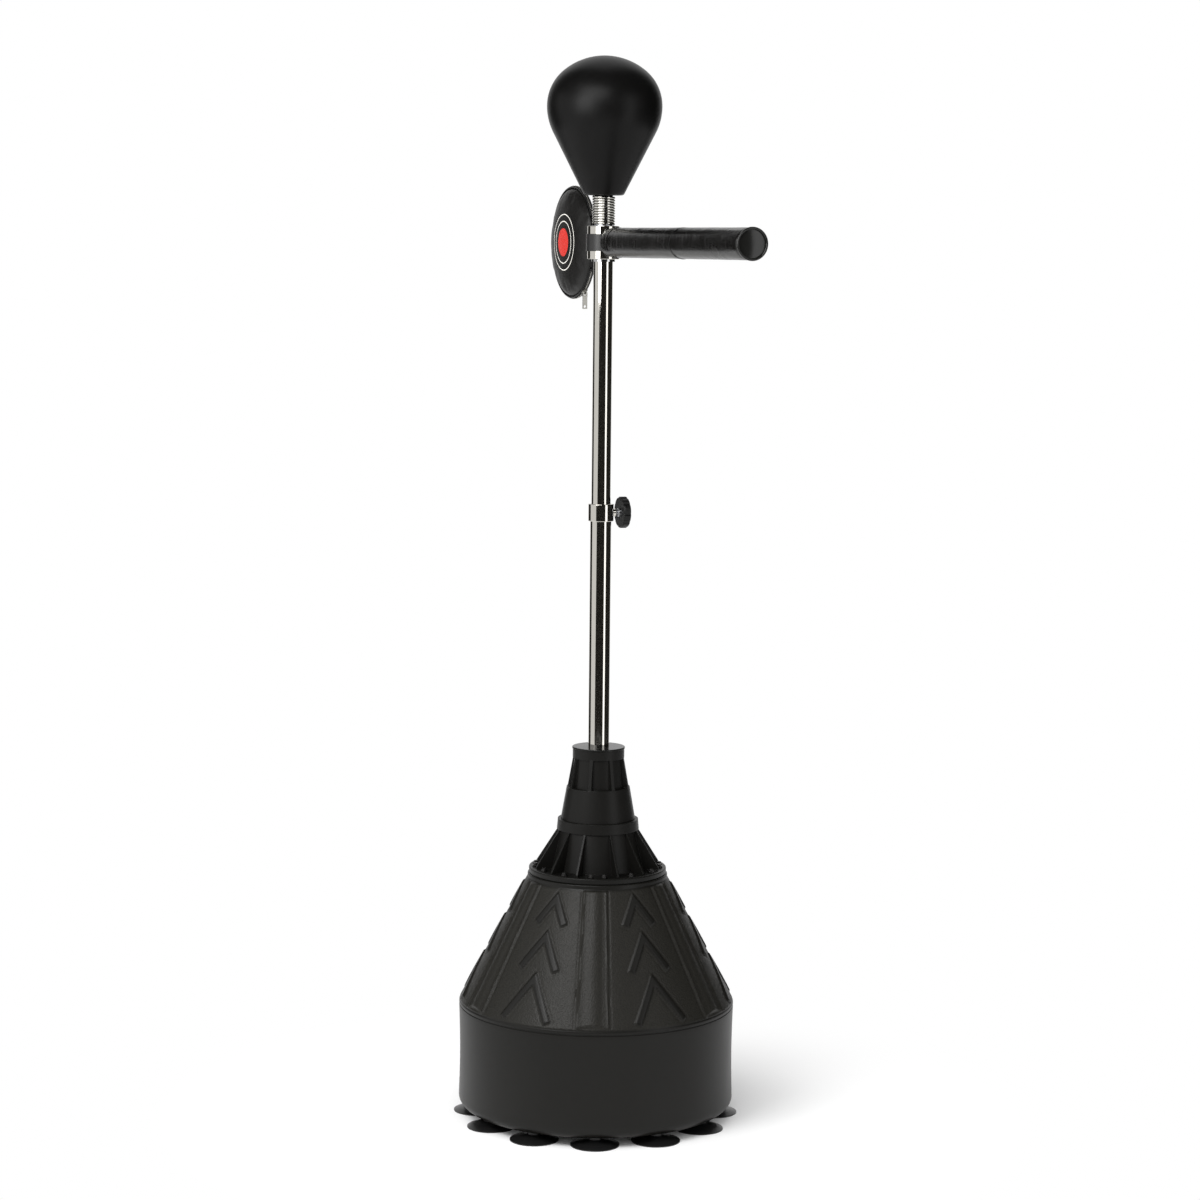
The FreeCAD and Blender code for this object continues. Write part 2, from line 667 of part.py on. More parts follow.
def build_lower_neck():
    inner_foot = FLARE_FOOT_RADIUS - S.neck_wall
    bore = COLLAR_BORE
    socket_bore = SOCKET_RADIUS + S.fit_gap
    gusset_reach = FLANGE_RADIUS - S.gusset_setback
    neck = turned_body("lower_neck_blank", [
        (socket_bore, GASKET_TOP_Z), (FLANGE_RADIUS, GASKET_TOP_Z), (FLANGE_RADIUS, FLANGE_TOP_Z),
        (FLARE_FOOT_RADIUS, FLANGE_TOP_Z), (FLARE_TOP_RADIUS, COLLAR_Z), (COLLAR_RADIUS, COLLAR_Z),
        (COLLAR_RADIUS - 1.5, NECK_Z), (bore, NECK_Z), (bore, COLLAR_Z - 2),
        (inner_foot - 2, GASKET_TOP_Z + S.neck_floor), (socket_bore, GASKET_TOP_Z + S.neck_floor),
    ])
    round_rings(neck, "flange_round", [(FLANGE_RADIUS, FLANGE_TOP_Z)], 2.0)
    outline = [
        (FLARE_TOP_RADIUS - 2, COLLAR_Z), (COLLAR_RADIUS - 0.5, COLLAR_Z),
        (gusset_reach, FLANGE_TOP_Z + 4), (gusset_reach, FLANGE_TOP_Z - 1),
        (FLARE_FOOT_RADIUS - 2, FLANGE_TOP_Z - 1),
    ]
    for index, angle in enumerate(GUSSET_ANGLES, start=1):
        gusset = add_pad(neck, "gusset_%d" % index, outline, S.gusset_thickness, angle)
        add_ring_pattern(neck, "gussets_%d" % index, [gusset], 4)
    bolt = cylinder("socket_bolt_hole", S.socket_bolt_radius + S.fit_gap, S.neck_floor + 4)
    bolt.Placement = moved(y=-SOCKET_BOLT_CIRCLE, z=GASKET_TOP_Z - 2)
    bolt_holes = copies("socket_bolt_holes", bolt, bearings(45.0, SOCKET_BOLT_COUNT))
    tools = fuse("lower_neck_holes", [bolt_holes, screw_tools("flange_clearance_holes")])
    node(cut("lower_neck", neck, tools), "lower_neck")


def build_flange_screws():
    head = S.flange_screw_head
    screw = turned_body("flange_screw", [
        (0, -S.flange_screw_length + 1), (S.flange_screw_radius, -S.flange_screw_length + 1),
        (S.flange_screw_radius, 0), (head, 0), (head, S.flange_screw_head_height * 0.6),
        (head * 0.7, S.flange_screw_head_height), (0, S.flange_screw_head_height),
    ])
    cross = [box("slot_%d" % turn, head * 1.2, 0.9, 1.6, moved(z=1.8, angle=turn)) for turn in (0, 90)]
    cut_screw = cut("flange_screw_cut", screw, fuse("cross_slot", cross))
    doc.recompute()
    seat = moved(y=-SCREW_CIRCLE, z=FLANGE_TOP_Z)
    places = [place.multiply(seat) for place in flange_screw_places()]
    node(copies("flange_screws", cut_screw, places), "flange_screws")


def build_upper_neck():
    wall = S.neck_wall
    foot = NECK_Z - S.spigot_depth
    bore = POLE_CLEAR_BORE
    neck = turned_body("upper_neck", [
        (S.spigot_radius - wall, foot), (S.spigot_radius, foot), (S.spigot_radius, NECK_Z),
        (NECK_FOOT_RADIUS, NECK_Z), (BAND_TOP_RADIUS, BAND_TOP_Z), (WAIST_RADIUS, BAND_TOP_Z),
        (WAIST_TOP_RADIUS, CROWN_Z), (CROWN_RADIUS, CROWN_Z), (CROWN_RADIUS, DISC_Z), (bore, DISC_Z),
        (bore, CROWN_Z - 18), (bore + wall, CROWN_Z - 18), (bore + wall, CROWN_Z),
        (WAIST_TOP_RADIUS - wall, CROWN_Z), (WAIST_RADIUS - wall, BAND_TOP_Z - 2),
        (BAND_TOP_RADIUS - wall - 1, BAND_TOP_Z - 6), (S.spigot_radius - wall, NECK_Z),
    ])
    outline = [
        (WAIST_TOP_RADIUS - 2, BAND_TOP_Z - 1), (BAND_TOP_RADIUS - 0.3, BAND_TOP_Z - 1),
        (CROWN_RADIUS, CROWN_Z + 1), (WAIST_TOP_RADIUS - 2, CROWN_Z + 1),
    ]
    rib = add_pad(neck, "neck_rib", outline, S.rib_thickness, NECK_RIB_START)
    add_ring_pattern(neck, "neck_ribs", [rib], NECK_RIB_COUNT)
    node(neck, "upper_neck")
    disc_radius = CROWN_RADIUS + S.disc_overhang
    disc = turned_body("top_disc", [
        (bore, DISC_Z), (disc_radius, DISC_Z), (disc_radius, DISC_Z + S.disc_thickness),
        (bore, DISC_Z + S.disc_thickness),
    ])
    round_rings(disc, "top_disc_round", [(disc_radius, DISC_Z + S.disc_thickness)], 1.2)
    node(disc, "top_disc")


def build_pole_socket():
    bore = POLE_CLEAR_BORE
    outer = SOCKET_RADIUS
    flange_radius = outer + S.socket_flange_width
    floor = GASKET_TOP_Z + S.neck_floor
    flange_top = floor + S.socket_flange_thickness
    foot = POLE_FOOT_Z - S.socket_wall
    blank = turned_body("pole_socket_blank", [
        (0, foot), (outer, foot), (outer, floor), (flange_radius, floor),
        (flange_radius, flange_top), (outer, flange_top), (outer, foot + S.socket_length),
        (bore, foot + S.socket_length), (bore, POLE_FOOT_Z), (0, POLE_FOOT_Z),
    ])
    tool = cylinder("socket_hole", S.socket_bolt_radius + S.fit_gap, S.socket_flange_thickness + 4)
    tool.Placement = moved(y=-SOCKET_BOLT_CIRCLE, z=floor - 2)
    holes = copies("socket_holes", tool, bearings(45.0, SOCKET_BOLT_COUNT))
    node(cut("pole_socket", blank, holes), "pole_socket")
    head = cylinder("bolt_head", S.socket_bolt_head, 4)
    head.Placement = moved(y=-SOCKET_BOLT_CIRCLE, z=flange_top)
    reach = S.neck_floor + S.socket_flange_thickness + S.socket_nut_height + 2
    shank = cylinder("bolt_shank", S.socket_bolt_radius, reach)
    shank.Placement = moved(y=-SOCKET_BOLT_CIRCLE, z=flange_top - reach)
    bolt = fuse("socket_bolt", [head, shank])
    node(copies("socket_bolts", bolt, bearings(45.0, SOCKET_BOLT_COUNT)), "socket_bolts")
    nut_body = doc.addObject("Part::Prism", "socket_nut_blank")
    nut_body.Polygon = 6
    bind(nut_body, "Circumradius", S.socket_bolt_head + 0.8)
    bind(nut_body, "Height", S.socket_nut_height)
    hole = cylinder("socket_nut_hole", S.socket_bolt_radius + S.fit_gap, S.socket_nut_height + 2)
    hole.Placement = moved(z=-1)
    nut = cut("socket_nut", nut_body, hole)
    doc.recompute()
    seat = moved(y=-SOCKET_BOLT_CIRCLE, z=GASKET_TOP_Z - S.socket_nut_height)
    places = [place.multiply(seat) for place in bearings(45.0, SOCKET_BOLT_COUNT)]
    node(copies("socket_nuts", nut, places), "socket_nuts")


# ---------------------------------------------------------------------------------------------------
# Poles, height collar and knob
# ---------------------------------------------------------------------------------------------------
def tube(label, outer, inner, foot, top):
    return turned_body(label, [(inner, foot), (outer, foot), (outer, top), (inner, top)])


def knob_hole(label, radius):
    """The hole for the knob screw, on the knob's side only."""
    return cylinder(label, radius, HEIGHT_COLLAR_RADIUS + 30, along_x(knob_frame(), 8.0))


def build_lower_pole():
    blank = tube("lower_pole_blank", LOWER_POLE_RADIUS, LOWER_POLE_BORE, POLE_FOOT_Z, POLE_TOP_Z)
    hole = knob_hole("lower_pole_knob_hole", S.knob_screw_radius + S.fit_gap)
    node(cut("lower_pole", blank, hole), "lower_pole")


def build_height_collar():
    ring = turned_body("height_collar_ring", [
        (POLE_CLEAR_BORE, HEIGHT_COLLAR_FOOT_Z), (HEIGHT_COLLAR_RADIUS, HEIGHT_COLLAR_FOOT_Z),
        (HEIGHT_COLLAR_RADIUS, HEIGHT_COLLAR_TOP_Z), (LOWER_POLE_BORE, HEIGHT_COLLAR_TOP_Z),
        (LOWER_POLE_BORE, POLE_TOP_Z), (POLE_CLEAR_BORE, POLE_TOP_Z),
    ])
    rims = [(HEIGHT_COLLAR_RADIUS, HEIGHT_COLLAR_FOOT_Z), (HEIGHT_COLLAR_RADIUS, HEIGHT_COLLAR_TOP_Z)]
    round_rings(ring, "height_collar_round", rims, 1.0)
    length = S.nut_boss_length + 2
    place = along_x(knob_frame(), HEIGHT_COLLAR_RADIUS - 2)
    boss = cylinder("nut_boss", S.knob_screw_radius + S.nut_boss_wall, length, place)
    whole = fuse("height_collar_whole", [ring, boss])
    hole = knob_hole("height_collar_knob_hole", S.knob_screw_radius + S.fit_gap)
    node(cut("height_collar", whole, hole), "height_collar")


def build_knob():
    start = S.upper_pole_radius + S.fit_gap
    length = KNOB_X + S.knob_thickness - 4 - start
    shaft = cylinder("knob_screw_shaft", S.knob_screw_radius, length, along_x(knob_frame(), start))
    node(shaft, "knob_screw")
    bore = S.knob_screw_radius + S.fit_gap
    insert_radius = S.knob_screw_radius + S.knob_insert_wall
    insert = turned_body("knob_insert", [
        (bore, 0), (insert_radius - 1, 0), (insert_radius, 1),
        (insert_radius, S.knob_insert_length), (bore, S.knob_insert_length),
    ])
    insert.Placement = along_x(knob_frame(), KNOB_INSERT_X)
    node(insert, "knob_insert")
    thick = S.knob_thickness
    grip = turned_body("knob_blank", [
        (bore, 0), (S.knob_radius, 0), (S.knob_radius, thick), (S.knob_radius - 6, thick),
        (S.knob_radius - 10, thick - 2.5), (0, thick - 2.5), (0, thick - 4 + S.fit_gap),
        (bore, thick - 4 + S.fit_gap),
    ])
    rims = [(S.knob_radius, 0), (S.knob_radius, thick)]
    round_rings(grip, "knob_round", rims, 2.0)
    lobe = cylinder("knob_scallop", S.knob_radius * 0.22, thick + 2)
    lobe.Placement = moved(y=-S.knob_radius * 1.13, z=-1)
    lobes = copies("knob_scallops", lobe, bearings(0.0, KNOB_LOBES))
    knob = cut("knob", grip, lobes)
    knob.Placement = along_x(knob_frame(), KNOB_X)
    node(knob, "knob")


def build_upper_pole():
    pole = tube("upper_pole", S.upper_pole_radius, UPPER_POLE_BORE, UPPER_FOOT_Z, POLE_TIP_Z)
    node(pole, "upper_pole")
    plug = UPPER_POLE_BORE - S.fit_gap
    glide = LOWER_POLE_BORE - S.glide_gap
    glide_plug = turned_body("glide_plug", [
        (0, UPPER_FOOT_Z - 8), (glide, UPPER_FOOT_Z - 8), (glide, UPPER_FOOT_Z), (plug, UPPER_FOOT_Z),
        (plug, UPPER_FOOT_Z + 18), (0, UPPER_FOOT_Z + 18),
    ])
    node(glide_plug, "glide_plug")


# ---------------------------------------------------------------------------------------------------
# Hub: stop ring, bearings, sleeve and band
# ---------------------------------------------------------------------------------------------------
def build_stop_ring():
    foot = LOWER_BEARING_Z - S.stop_ring_height
    ring_radius = SHAFT_RADIUS + S.stop_ring_wall
    blank = tube("stop_ring_blank", ring_radius, SHAFT_RADIUS, foot, LOWER_BEARING_Z)
    place = moved(y=-SHAFT_RADIUS + 4, z=foot + 2.5, axis=X_AXIS, angle=90)
    hole = cylinder("grub_hole", S.grub_radius + S.fit_gap, 12, place)
    node(cut("stop_ring", blank, hole), "stop_ring")
    place = moved(y=-SHAFT_RADIUS - 0.1, z=foot + 2.5, axis=X_AXIS, angle=90)
    grub = cylinder("grub_screw", S.grub_radius, ring_radius - SHAFT_RADIUS - 0.4, place)
    node(grub, "stop_ring_screw")


def ball_groove(label):
    """The ring that the balls run in, with a little clearance."""
    groove = doc.addObject("Part::Torus", label)
    bind(groove, "Radius1", BALL_TRACK_RADIUS)
    bind(groove, "Radius2", BEARING_BALL_RADIUS + 0.1)
    groove.Placement = moved(z=S.bearing_height / 2)
    return groove


def build_bearings():
    seats = [moved(z=LOWER_BEARING_Z), moved(z=UPPER_BEARING_Z)]
    inner = tube("inner_race_blank", RACE_INNER_RADIUS, SHAFT_RADIUS, 0, S.bearing_height)
    inner_race = cut("inner_race", inner, ball_groove("inner_groove"))
    node(copies("bearing_inner_races", inner_race, seats), "bearing_inner_races")
    outer_radius = BEARING_RADIUS - S.fit_gap
    outer = tube("outer_race_blank", outer_radius, RACE_OUTER_RADIUS, 0, S.bearing_height)
    outer_race = cut("outer_race", outer, ball_groove("outer_groove"))
    node(copies("bearing_outer_races", outer_race, seats), "bearing_outer_races")
    ball = doc.addObject("Part::Sphere", "bearing_ball")
    bind(ball, "Radius", BEARING_BALL_RADIUS)
    ball.Placement = moved(x=BALL_TRACK_RADIUS, z=S.bearing_height / 2)
    places = [seat.multiply(turn) for seat in seats for turn in bearings(0.0, BEARING_BALL_COUNT)]
    node(copies("bearing_balls", ball, places), "bearing_balls")


def build_hub():
    seat = BEARING_RADIUS
    hub_bore = seat - S.hub_shoulder
    seat_depth = S.bearing_inset + S.bearing_height
    sleeve = turned_body("hub_sleeve", [
        (seat, HUB_FOOT_Z), (HUB_RADIUS, HUB_FOOT_Z), (HUB_RADIUS, HUB_TOP_Z), (seat, HUB_TOP_Z),
        (seat, HUB_TOP_Z - seat_depth), (hub_bore, HUB_TOP_Z - seat_depth),
        (hub_bore, HUB_FOOT_Z + seat_depth), (seat, HUB_FOOT_Z + seat_depth),
    ])
    round_rings(sleeve, "hub_round", [(HUB_RADIUS, HUB_FOOT_Z), (HUB_RADIUS, HUB_TOP_Z)], 1.0)
    node(sleeve, "hub_sleeve")
    frame = hub_frame()
    ring = cylinder("band_ring", BAND_RADIUS, S.band_width)
    ring.Placement = frame.multiply(moved(z=-S.band_width / 2))
    stub = cylinder("band_stub", S.band_width / 2, S.bar_start, along_x(frame))
    lug_length = HUB_RADIUS + 12
    lug = box("band_lug", lug_length, S.paddle_thickness + 8, S.band_width)
    lug.Placement = frame.multiply(moved(x=-lug_length, y=-(S.paddle_thickness + 8) / 2,
                                         z=-S.band_width / 2))
    whole = fuse("hub_band_whole", [ring, stub, lug])
    sleeve_hole = cylinder("band_bore", BAND_BORE, S.band_width + 2)
    sleeve_hole.Placement = frame.multiply(moved(z=-S.band_width / 2 - 1))
    core_hole = cylinder("band_core_hole", S.bar_core_radius + S.fit_gap, S.bar_start + 2, along_x(frame))
    slot = box("band_slot", TARGET_OFFSET, S.paddle_thickness + 0.1, S.band_width + 2)
    slot.Placement = frame.multiply(moved(x=-TARGET_OFFSET, y=-S.paddle_thickness / 2 - 0.05,
                                          z=-S.band_width / 2 - 1))
    tools = fuse("hub_band_holes", [sleeve_hole, core_hole, slot])
    node(cut("hub_band", whole, tools), "hub_band")


# ---------------------------------------------------------------------------------------------------
# Bar: core tube, foam, cover and end cap, all turned about the bar's own axis
# ---------------------------------------------------------------------------------------------------
def bar_piece(label, corners):
    """A piece turned about the bar, its heights measured along the bar from the pole's axis."""
    piece = turned_body(label, corners)
    piece.Placement = along_x(hub_frame())
    return piece


def build_bar():
    core = S.bar_core_radius
    bore = core - S.bar_core_wall
    start = HUB_RADIUS + 0.6
    core_end = S.bar_length - S.bar_cap_length
    node(bar_piece("bar_core_tube", [(bore, start), (core, start), (core, core_end), (bore, core_end)]),
         "bar_core_tube")
    skin = S.bar_radius - S.bar_cover
    hole = core + S.fit_gap
    cover = bar_piece("bar_cover", [
        (hole, S.bar_start), (S.bar_radius - 5, S.bar_start), (S.bar_radius, S.bar_start + 5),
        (S.bar_radius, core_end), (skin, core_end), (skin, S.bar_start + 6),
        (skin - 5, S.bar_start + S.bar_cover), (hole, S.bar_start + S.bar_cover),
    ])
    node(cover, "bar_cover")
    fill = skin - S.fit_gap
    node(bar_piece("bar_foam", [
        (hole, S.bar_start + S.bar_cover + 0.1), (fill - 5.2, S.bar_start + S.bar_cover + 0.1),
        (fill, S.bar_start + 6.4), (fill, core_end), (hole, core_end),
    ]), "bar_foam")
    plug = bore - S.fit_gap
    cap = bar_piece("bar_end_cap", [
        (0, core_end - S.bar_cap_plug), (plug, core_end - S.bar_cap_plug), (plug, core_end),
        (S.bar_radius, core_end), (S.bar_radius, S.bar_length), (S.bar_radius - 4, S.bar_length),
        (S.bar_radius - 5, S.bar_length - 1.5), (0, S.bar_length - 1.5),
    ])
    round_rings(cap, "bar_end_round", [(S.bar_radius, S.bar_length)], 2.5)
    node(cap, "bar_end_cap")


# ---------------------------------------------------------------------------------------------------
# Target: paddle, foam, cover, zip, slider and puller
# ---------------------------------------------------------------------------------------------------
def target_frame():
    """The frame of the target: its Z is the target's axis and its X points back to the pole."""
    return hub_frame().multiply(moved(x=-TARGET_OFFSET, axis=X_AXIS, angle=90))


def lens(label, inset):
    """The target's domed disc, or a smaller one inside it: two faces joined by a rounded rim."""
    radius = S.target_radius - inset
    half = S.target_half - inset
    edge = S.target_edge - inset
    rim = number(radius - edge)
    rise = number(half)
    bend = number(edge)
    face = (rim * rim + rise * rise - bend * bend) / (2 * (rise - bend))
    tilt = math.degrees(math.atan2(rim, face - rise))
    body = new_body(label)
    sketch = new_sketch(body, "XZ_Plane", label + "_profile")
    top = add_arc(sketch, (0, rise - face), face, 90 - tilt, 90)
    side = add_arc(sketch, (rim, 0), bend, tilt - 90, 90 - tilt)
    bottom = add_arc(sketch, (0, face - rise), face, -90, tilt - 90)
    middle = add_line(sketch, (0, rise), (0, -rise))
    join(sketch, "Tangent", top, START, side, END)
    join(sketch, "Tangent", bottom, END, side, START)
    join(sketch, "Coincident", top, END, middle, START)
    join(sketch, "Coincident", bottom, START, middle, END)
    pin_point(sketch, side, CENTRE, radius - edge, 0)
    set_radius(sketch, side, edge)
    for arc in (top, bottom):
        put_on_axis(sketch, arc, CENTRE)
    pin_point(sketch, middle, START, 0, half)
    pin_point(sketch, middle, END, 0, -half)
    turn_sketch(body, label, sketch)
    body.Placement = target_frame()
    return body


def paddle_solids(prefix, gap):
    """The paddle's arm and disc, grown by a gap where they are used as a cutter."""
    frame = hub_frame()
    start = HUB_RADIUS + 0.6
    reach = TARGET_OFFSET - start
    height = S.band_width + 2 * gap
    arm = box(prefix + "_arm", reach, S.paddle_thickness + 2 * gap, height)
    arm.Placement = frame.multiply(moved(x=-TARGET_OFFSET, y=-S.paddle_thickness / 2 - gap,
                                         z=-height / 2))
    disc = cylinder(prefix + "_disc", S.target_radius - S.paddle_margin + gap, S.paddle_thickness + 2 * gap)
    disc.Placement = target_frame().multiply(moved(z=-S.paddle_thickness / 2 - gap))
    return fuse(prefix, [arm, disc])


def build_target():
    node(paddle_solids("target_paddle", 0.0), "target_paddle")
    skin = S.target_cover
    shell = cut("target_shell", lens("target_outer", NO_INSET), lens("target_inner", skin))
    node(cut("target_cover", shell, paddle_solids("target_cover_slot", S.fit_gap)), "target_cover")
    core = lens("target_filling", skin + S.fit_gap)
    node(cut("target_foam", core, paddle_solids("target_foam_slot", S.fit_gap)), "target_foam")


def build_zip():
    inner = S.target_radius + 0.1
    half = S.zip_width / 2
    tape = turned_body("zip_tape", [(inner, -half), (ZIP_OUTER, -half), (ZIP_OUTER, half), (inner, half)],
                       360 - S.zip_gap_angle)
    # the gap in the zip faces the pole, where the arm comes in
    tape.Placement = target_frame().multiply(moved(angle=180))
    node(tape, "zip_tape")
    frame = slider_frame()
    body = box("slider_body", S.slider_length, S.zip_width + 2, S.slider_height, frame)
    lug_wide = 3.0
    lug = box("slider_lug", 3.2, lug_wide, S.slider_height + S.lug_height, frame)
    whole = fuse("zip_slider_whole", [body, lug])
    hole = cylinder("slider_hole", S.pull_pin_radius + 0.08, S.pull_width + 2)
    hole.Placement = pull_frame().multiply(moved(y=(S.pull_width + 2) / 2, axis=X_AXIS, angle=90))
    node(cut("zip_slider", whole, hole), "zip_slider")


def slider_frame():
    """On the zip, low down towards the pole: X along the zip, Z square to the rim, outwards."""
    turn = -(90.0 - number(S.slider_angle))
    out = hub_frame().multiply(moved(x=-TARGET_OFFSET, axis=Y_AXIS, angle=-turn))
    return out.multiply(moved(x=ZIP_OUTER + 0.1)).multiply(moved(axis=Y_AXIS, angle=90))


def pull_frame():
    """At the puller's pin: Z up, Y along the pin."""
    pin = slider_frame().multiply(moved(z=S.slider_height + S.lug_height - 1.6)).Base
    return FreeCAD.Placement(pin, hub_frame().Rotation)


def build_zip_pull():
    frame = pull_frame()
    ear = (S.pull_width - 3.4) / 2
    parts = []
    for side in (-1, 1):
        place = frame.multiply(moved(y=side * (S.pull_width / 2 - ear / 2), z=-6))
        parts.append(box("pull_ear_%d" % (side + 2), S.pull_thickness + 1.2, ear, 7.6, place))
    plate_top = 3.4
    place = frame.multiply(moved(z=-S.pull_length))
    parts.append(box("pull_plate", S.pull_thickness, S.pull_width, S.pull_length - plate_top, place))
    pin = cylinder("pull_pin", S.pull_pin_radius, S.pull_width - 0.4)
    pin.Placement = frame.multiply(moved(y=(S.pull_width - 0.4) / 2, axis=X_AXIS, angle=90))
    parts.append(pin)
    whole = fuse("zip_pull_whole", parts)
    hole = cylinder("pull_hole", 2.2, 10)
    hole.Placement = frame.multiply(moved(x=-5, z=-S.pull_length + 4)).multiply(moved(axis=Y_AXIS, angle=90))
    node(cut("zip_pull", whole, hole), "zip_pull")


# ---------------------------------------------------------------------------------------------------
# Spring and ball
# ---------------------------------------------------------------------------------------------------
def build_spring():
    plug = UPPER_POLE_BORE - S.fit_gap
    seat = turned_body("spring_plug", [
        (0, POLE_TIP_Z - 20), (plug, POLE_TIP_Z - 20), (plug, POLE_TIP_Z), (RACE_INNER_RADIUS, POLE_TIP_Z),
        (RACE_INNER_RADIUS, SEAT_Z), (STEM_RADIUS, SEAT_Z), (STEM_RADIUS, SEAT_Z + S.plug_stem_length),
        (0, SEAT_Z + S.plug_stem_length),
    ])
    node(seat, "spring_plug")
    coil_radius = S.spring_radius - S.spring_wire / 2
    start = SEAT_Z + S.spring_wire / 2 + S.slide_gap
    helix = doc.addObject("Part::Helix", "spring_path")
    bind(helix, "Radius", coil_radius)
    bind(helix, "Pitch", S.spring_pitch)
    bind(helix, "Height", S.spring_height - S.spring_wire - 2 * S.slide_gap)
    helix.Placement = moved(z=start)
    wire = doc.addObject("Part::Circle", "spring_section")
    bind(wire, "Radius", S.spring_wire / 2)
    wire.Placement = moved(x=coil_radius, z=start, axis=X_AXIS, angle=90)
    spring = doc.addObject("Part::Sweep", "ball_spring")
    spring.Sections = [wire]
    spring.Spine = (helix, [])
    spring.Solid = True
    spring.Frenet = True
    node(spring, "ball_spring")


def teardrop(label, inset):
    """The ball's outline, or one inset from it: cone, belt of a sphere, rounded shoulder and crown."""
    belt = S.ball_radius - inset
    shoulder = S.ball_shoulder - inset
    foot = BALL_FOOT_Z + inset
    top = BALL_CENTRE_Z + S.ball_cap_height - inset
    lean = number(S.ball_half_angle)
    middle = number(BALL_CENTRE_Z)
    out = number(belt) - number(shoulder)
    rise = number(top) - middle
    crown = (out * out + rise * rise - number(shoulder) ** 2) / (2 * (rise - number(shoulder)))
    tilt = math.degrees(math.atan2(out, crown - rise))
    tangent = polar(0, middle, number(belt), -lean)
    foot_radius = tangent[0] - (tangent[1] - number(foot)) * math.tan(math.radians(lean))
    body = new_body(label)
    sketch = new_sketch(body, "XZ_Plane", label + "_profile")
    base = add_line(sketch, (0, number(foot)), (foot_radius, number(foot)))
    side = add_line(sketch, (foot_radius, number(foot)), tangent)
    belt_arc = add_arc(sketch, (0, middle), number(belt), -lean, 0)
    shoulder_arc = add_arc(sketch, (out, middle), number(shoulder), 0, 90 - tilt)
    crown_arc = add_arc(sketch, (0, middle + rise - crown), crown, 90 - tilt, 90)
    axis = add_line(sketch, (0, middle + rise), (0, number(foot)))
    join(sketch, "Coincident", base, END, side, START)
    join(sketch, "Tangent", side, END, belt_arc, START)
    join(sketch, "Tangent", belt_arc, END, shoulder_arc, START)
    join(sketch, "Tangent", shoulder_arc, END, crown_arc, START)
    join(sketch, "Coincident", crown_arc, END, axis, START)
    join(sketch, "Coincident", axis, END, base, START)
    pin_point(sketch, base, START, 0, foot)
    set_height(sketch, base, END, foot)
    pin_point(sketch, belt_arc, CENTRE, 0, BALL_CENTRE_Z)
    set_radius(sketch, belt_arc, belt)
    set_height(sketch, shoulder_arc, CENTRE, BALL_CENTRE_Z)
    set_radius(sketch, shoulder_arc, shoulder)
    put_on_axis(sketch, crown_arc, CENTRE)
    pin_point(sketch, axis, START, 0, top)
    slope = Sketcher.Constraint("Angle", -1, 1, side, START, math.radians(90 - lean))
    index = sketch.addConstraint(slope)
    sketch.setExpression("Constraints[%d]" % index, "(90 - %s) * 1 deg" % S.ball_half_angle.text)
    turn_sketch(body, label, sketch)
    return body


def ball_foot_radius():
    """The radius of the ball's flat foot, where its cone meets the spring."""
    lean = math.radians(number(S.ball_half_angle))
    radius = number(S.ball_radius) / math.cos(lean)
    return Size(radius - number(S.ball_centre_rise) * math.tan(lean),
                "(%s / cos(%s) - %s * tan(%s))" % (S.ball_radius.text, S.ball_half_angle.text,
                                                   S.ball_centre_rise.text, S.ball_half_angle.text))


def polar(u, v, radius, angle):
    """The point at an angle on a circle about (u, v)."""
    turn = math.radians(angle)
    return (u + radius * math.cos(turn), v + radius * math.sin(turn))


def build_ball():
    insert_radius = ball_foot_radius() - S.insert_margin
    skin = cut("ball_skin", teardrop("ball_outer", NO_INSET), teardrop("ball_inner", S.ball_wall))
    opening = cylinder("ball_opening", insert_radius + S.fit_gap, S.ball_wall + 2)
    opening.Placement = moved(z=BALL_FOOT_Z - 1)
    node(cut("ball_cover", skin, opening), "ball_cover")
    pocket = cylinder("ball_pocket", S.insert_spigot_radius + S.fit_gap, S.insert_spigot_length + 1)
    pocket.Placement = moved(z=BALL_FOOT_Z + S.ball_wall - 0.5)
    node(cut("ball_foam", teardrop("ball_filling", S.ball_wall + S.fit_gap), pocket), "ball_foam")
    spigot_top = BALL_FOOT_Z + S.ball_wall + S.insert_spigot_length
    insert = turned_body("ball_insert", [
        (0, BALL_FOOT_Z - S.plug_stem_length), (STEM_RADIUS, BALL_FOOT_Z - S.plug_stem_length),
        (STEM_RADIUS, BALL_FOOT_Z), (insert_radius, BALL_FOOT_Z),
        (insert_radius, BALL_FOOT_Z + S.ball_wall), (S.insert_spigot_radius, BALL_FOOT_Z + S.ball_wall),
        (S.insert_spigot_radius, spigot_top), (0, spigot_top),
    ])
    node(insert, "ball_insert")


# ---------------------------------------------------------------------------------------------------
# Build, check and write
# ---------------------------------------------------------------------------------------------------
def check_document():
    """Stop before anything is written if an object failed or a sub-part has no sound shape."""
    for obj in doc.Objects:
        if "Invalid" in obj.State or "Error" in obj.State:
            raise RuntimeError("%s did not build: %s" % (obj.Label, obj.State))
    for obj in NODES:
        shape = obj.Shape
        if shape.isNull() or not shape.isValid() or not shape.Solids:
            raise RuntimeError("%s has no valid solid" % obj.Label)


def write_nodes():
    os.makedirs("parts", exist_ok=True)
    for obj in NODES:
        obj.Shape.exportStep("parts/%s.step" % obj.Label)
        solids = obj.Shape.Solids
        volume = sum(solid.Volume for solid in solids) / 1000.0
        print("%-22s %3d solids %10.2f cm3" % (obj.Label, len(solids), volume))


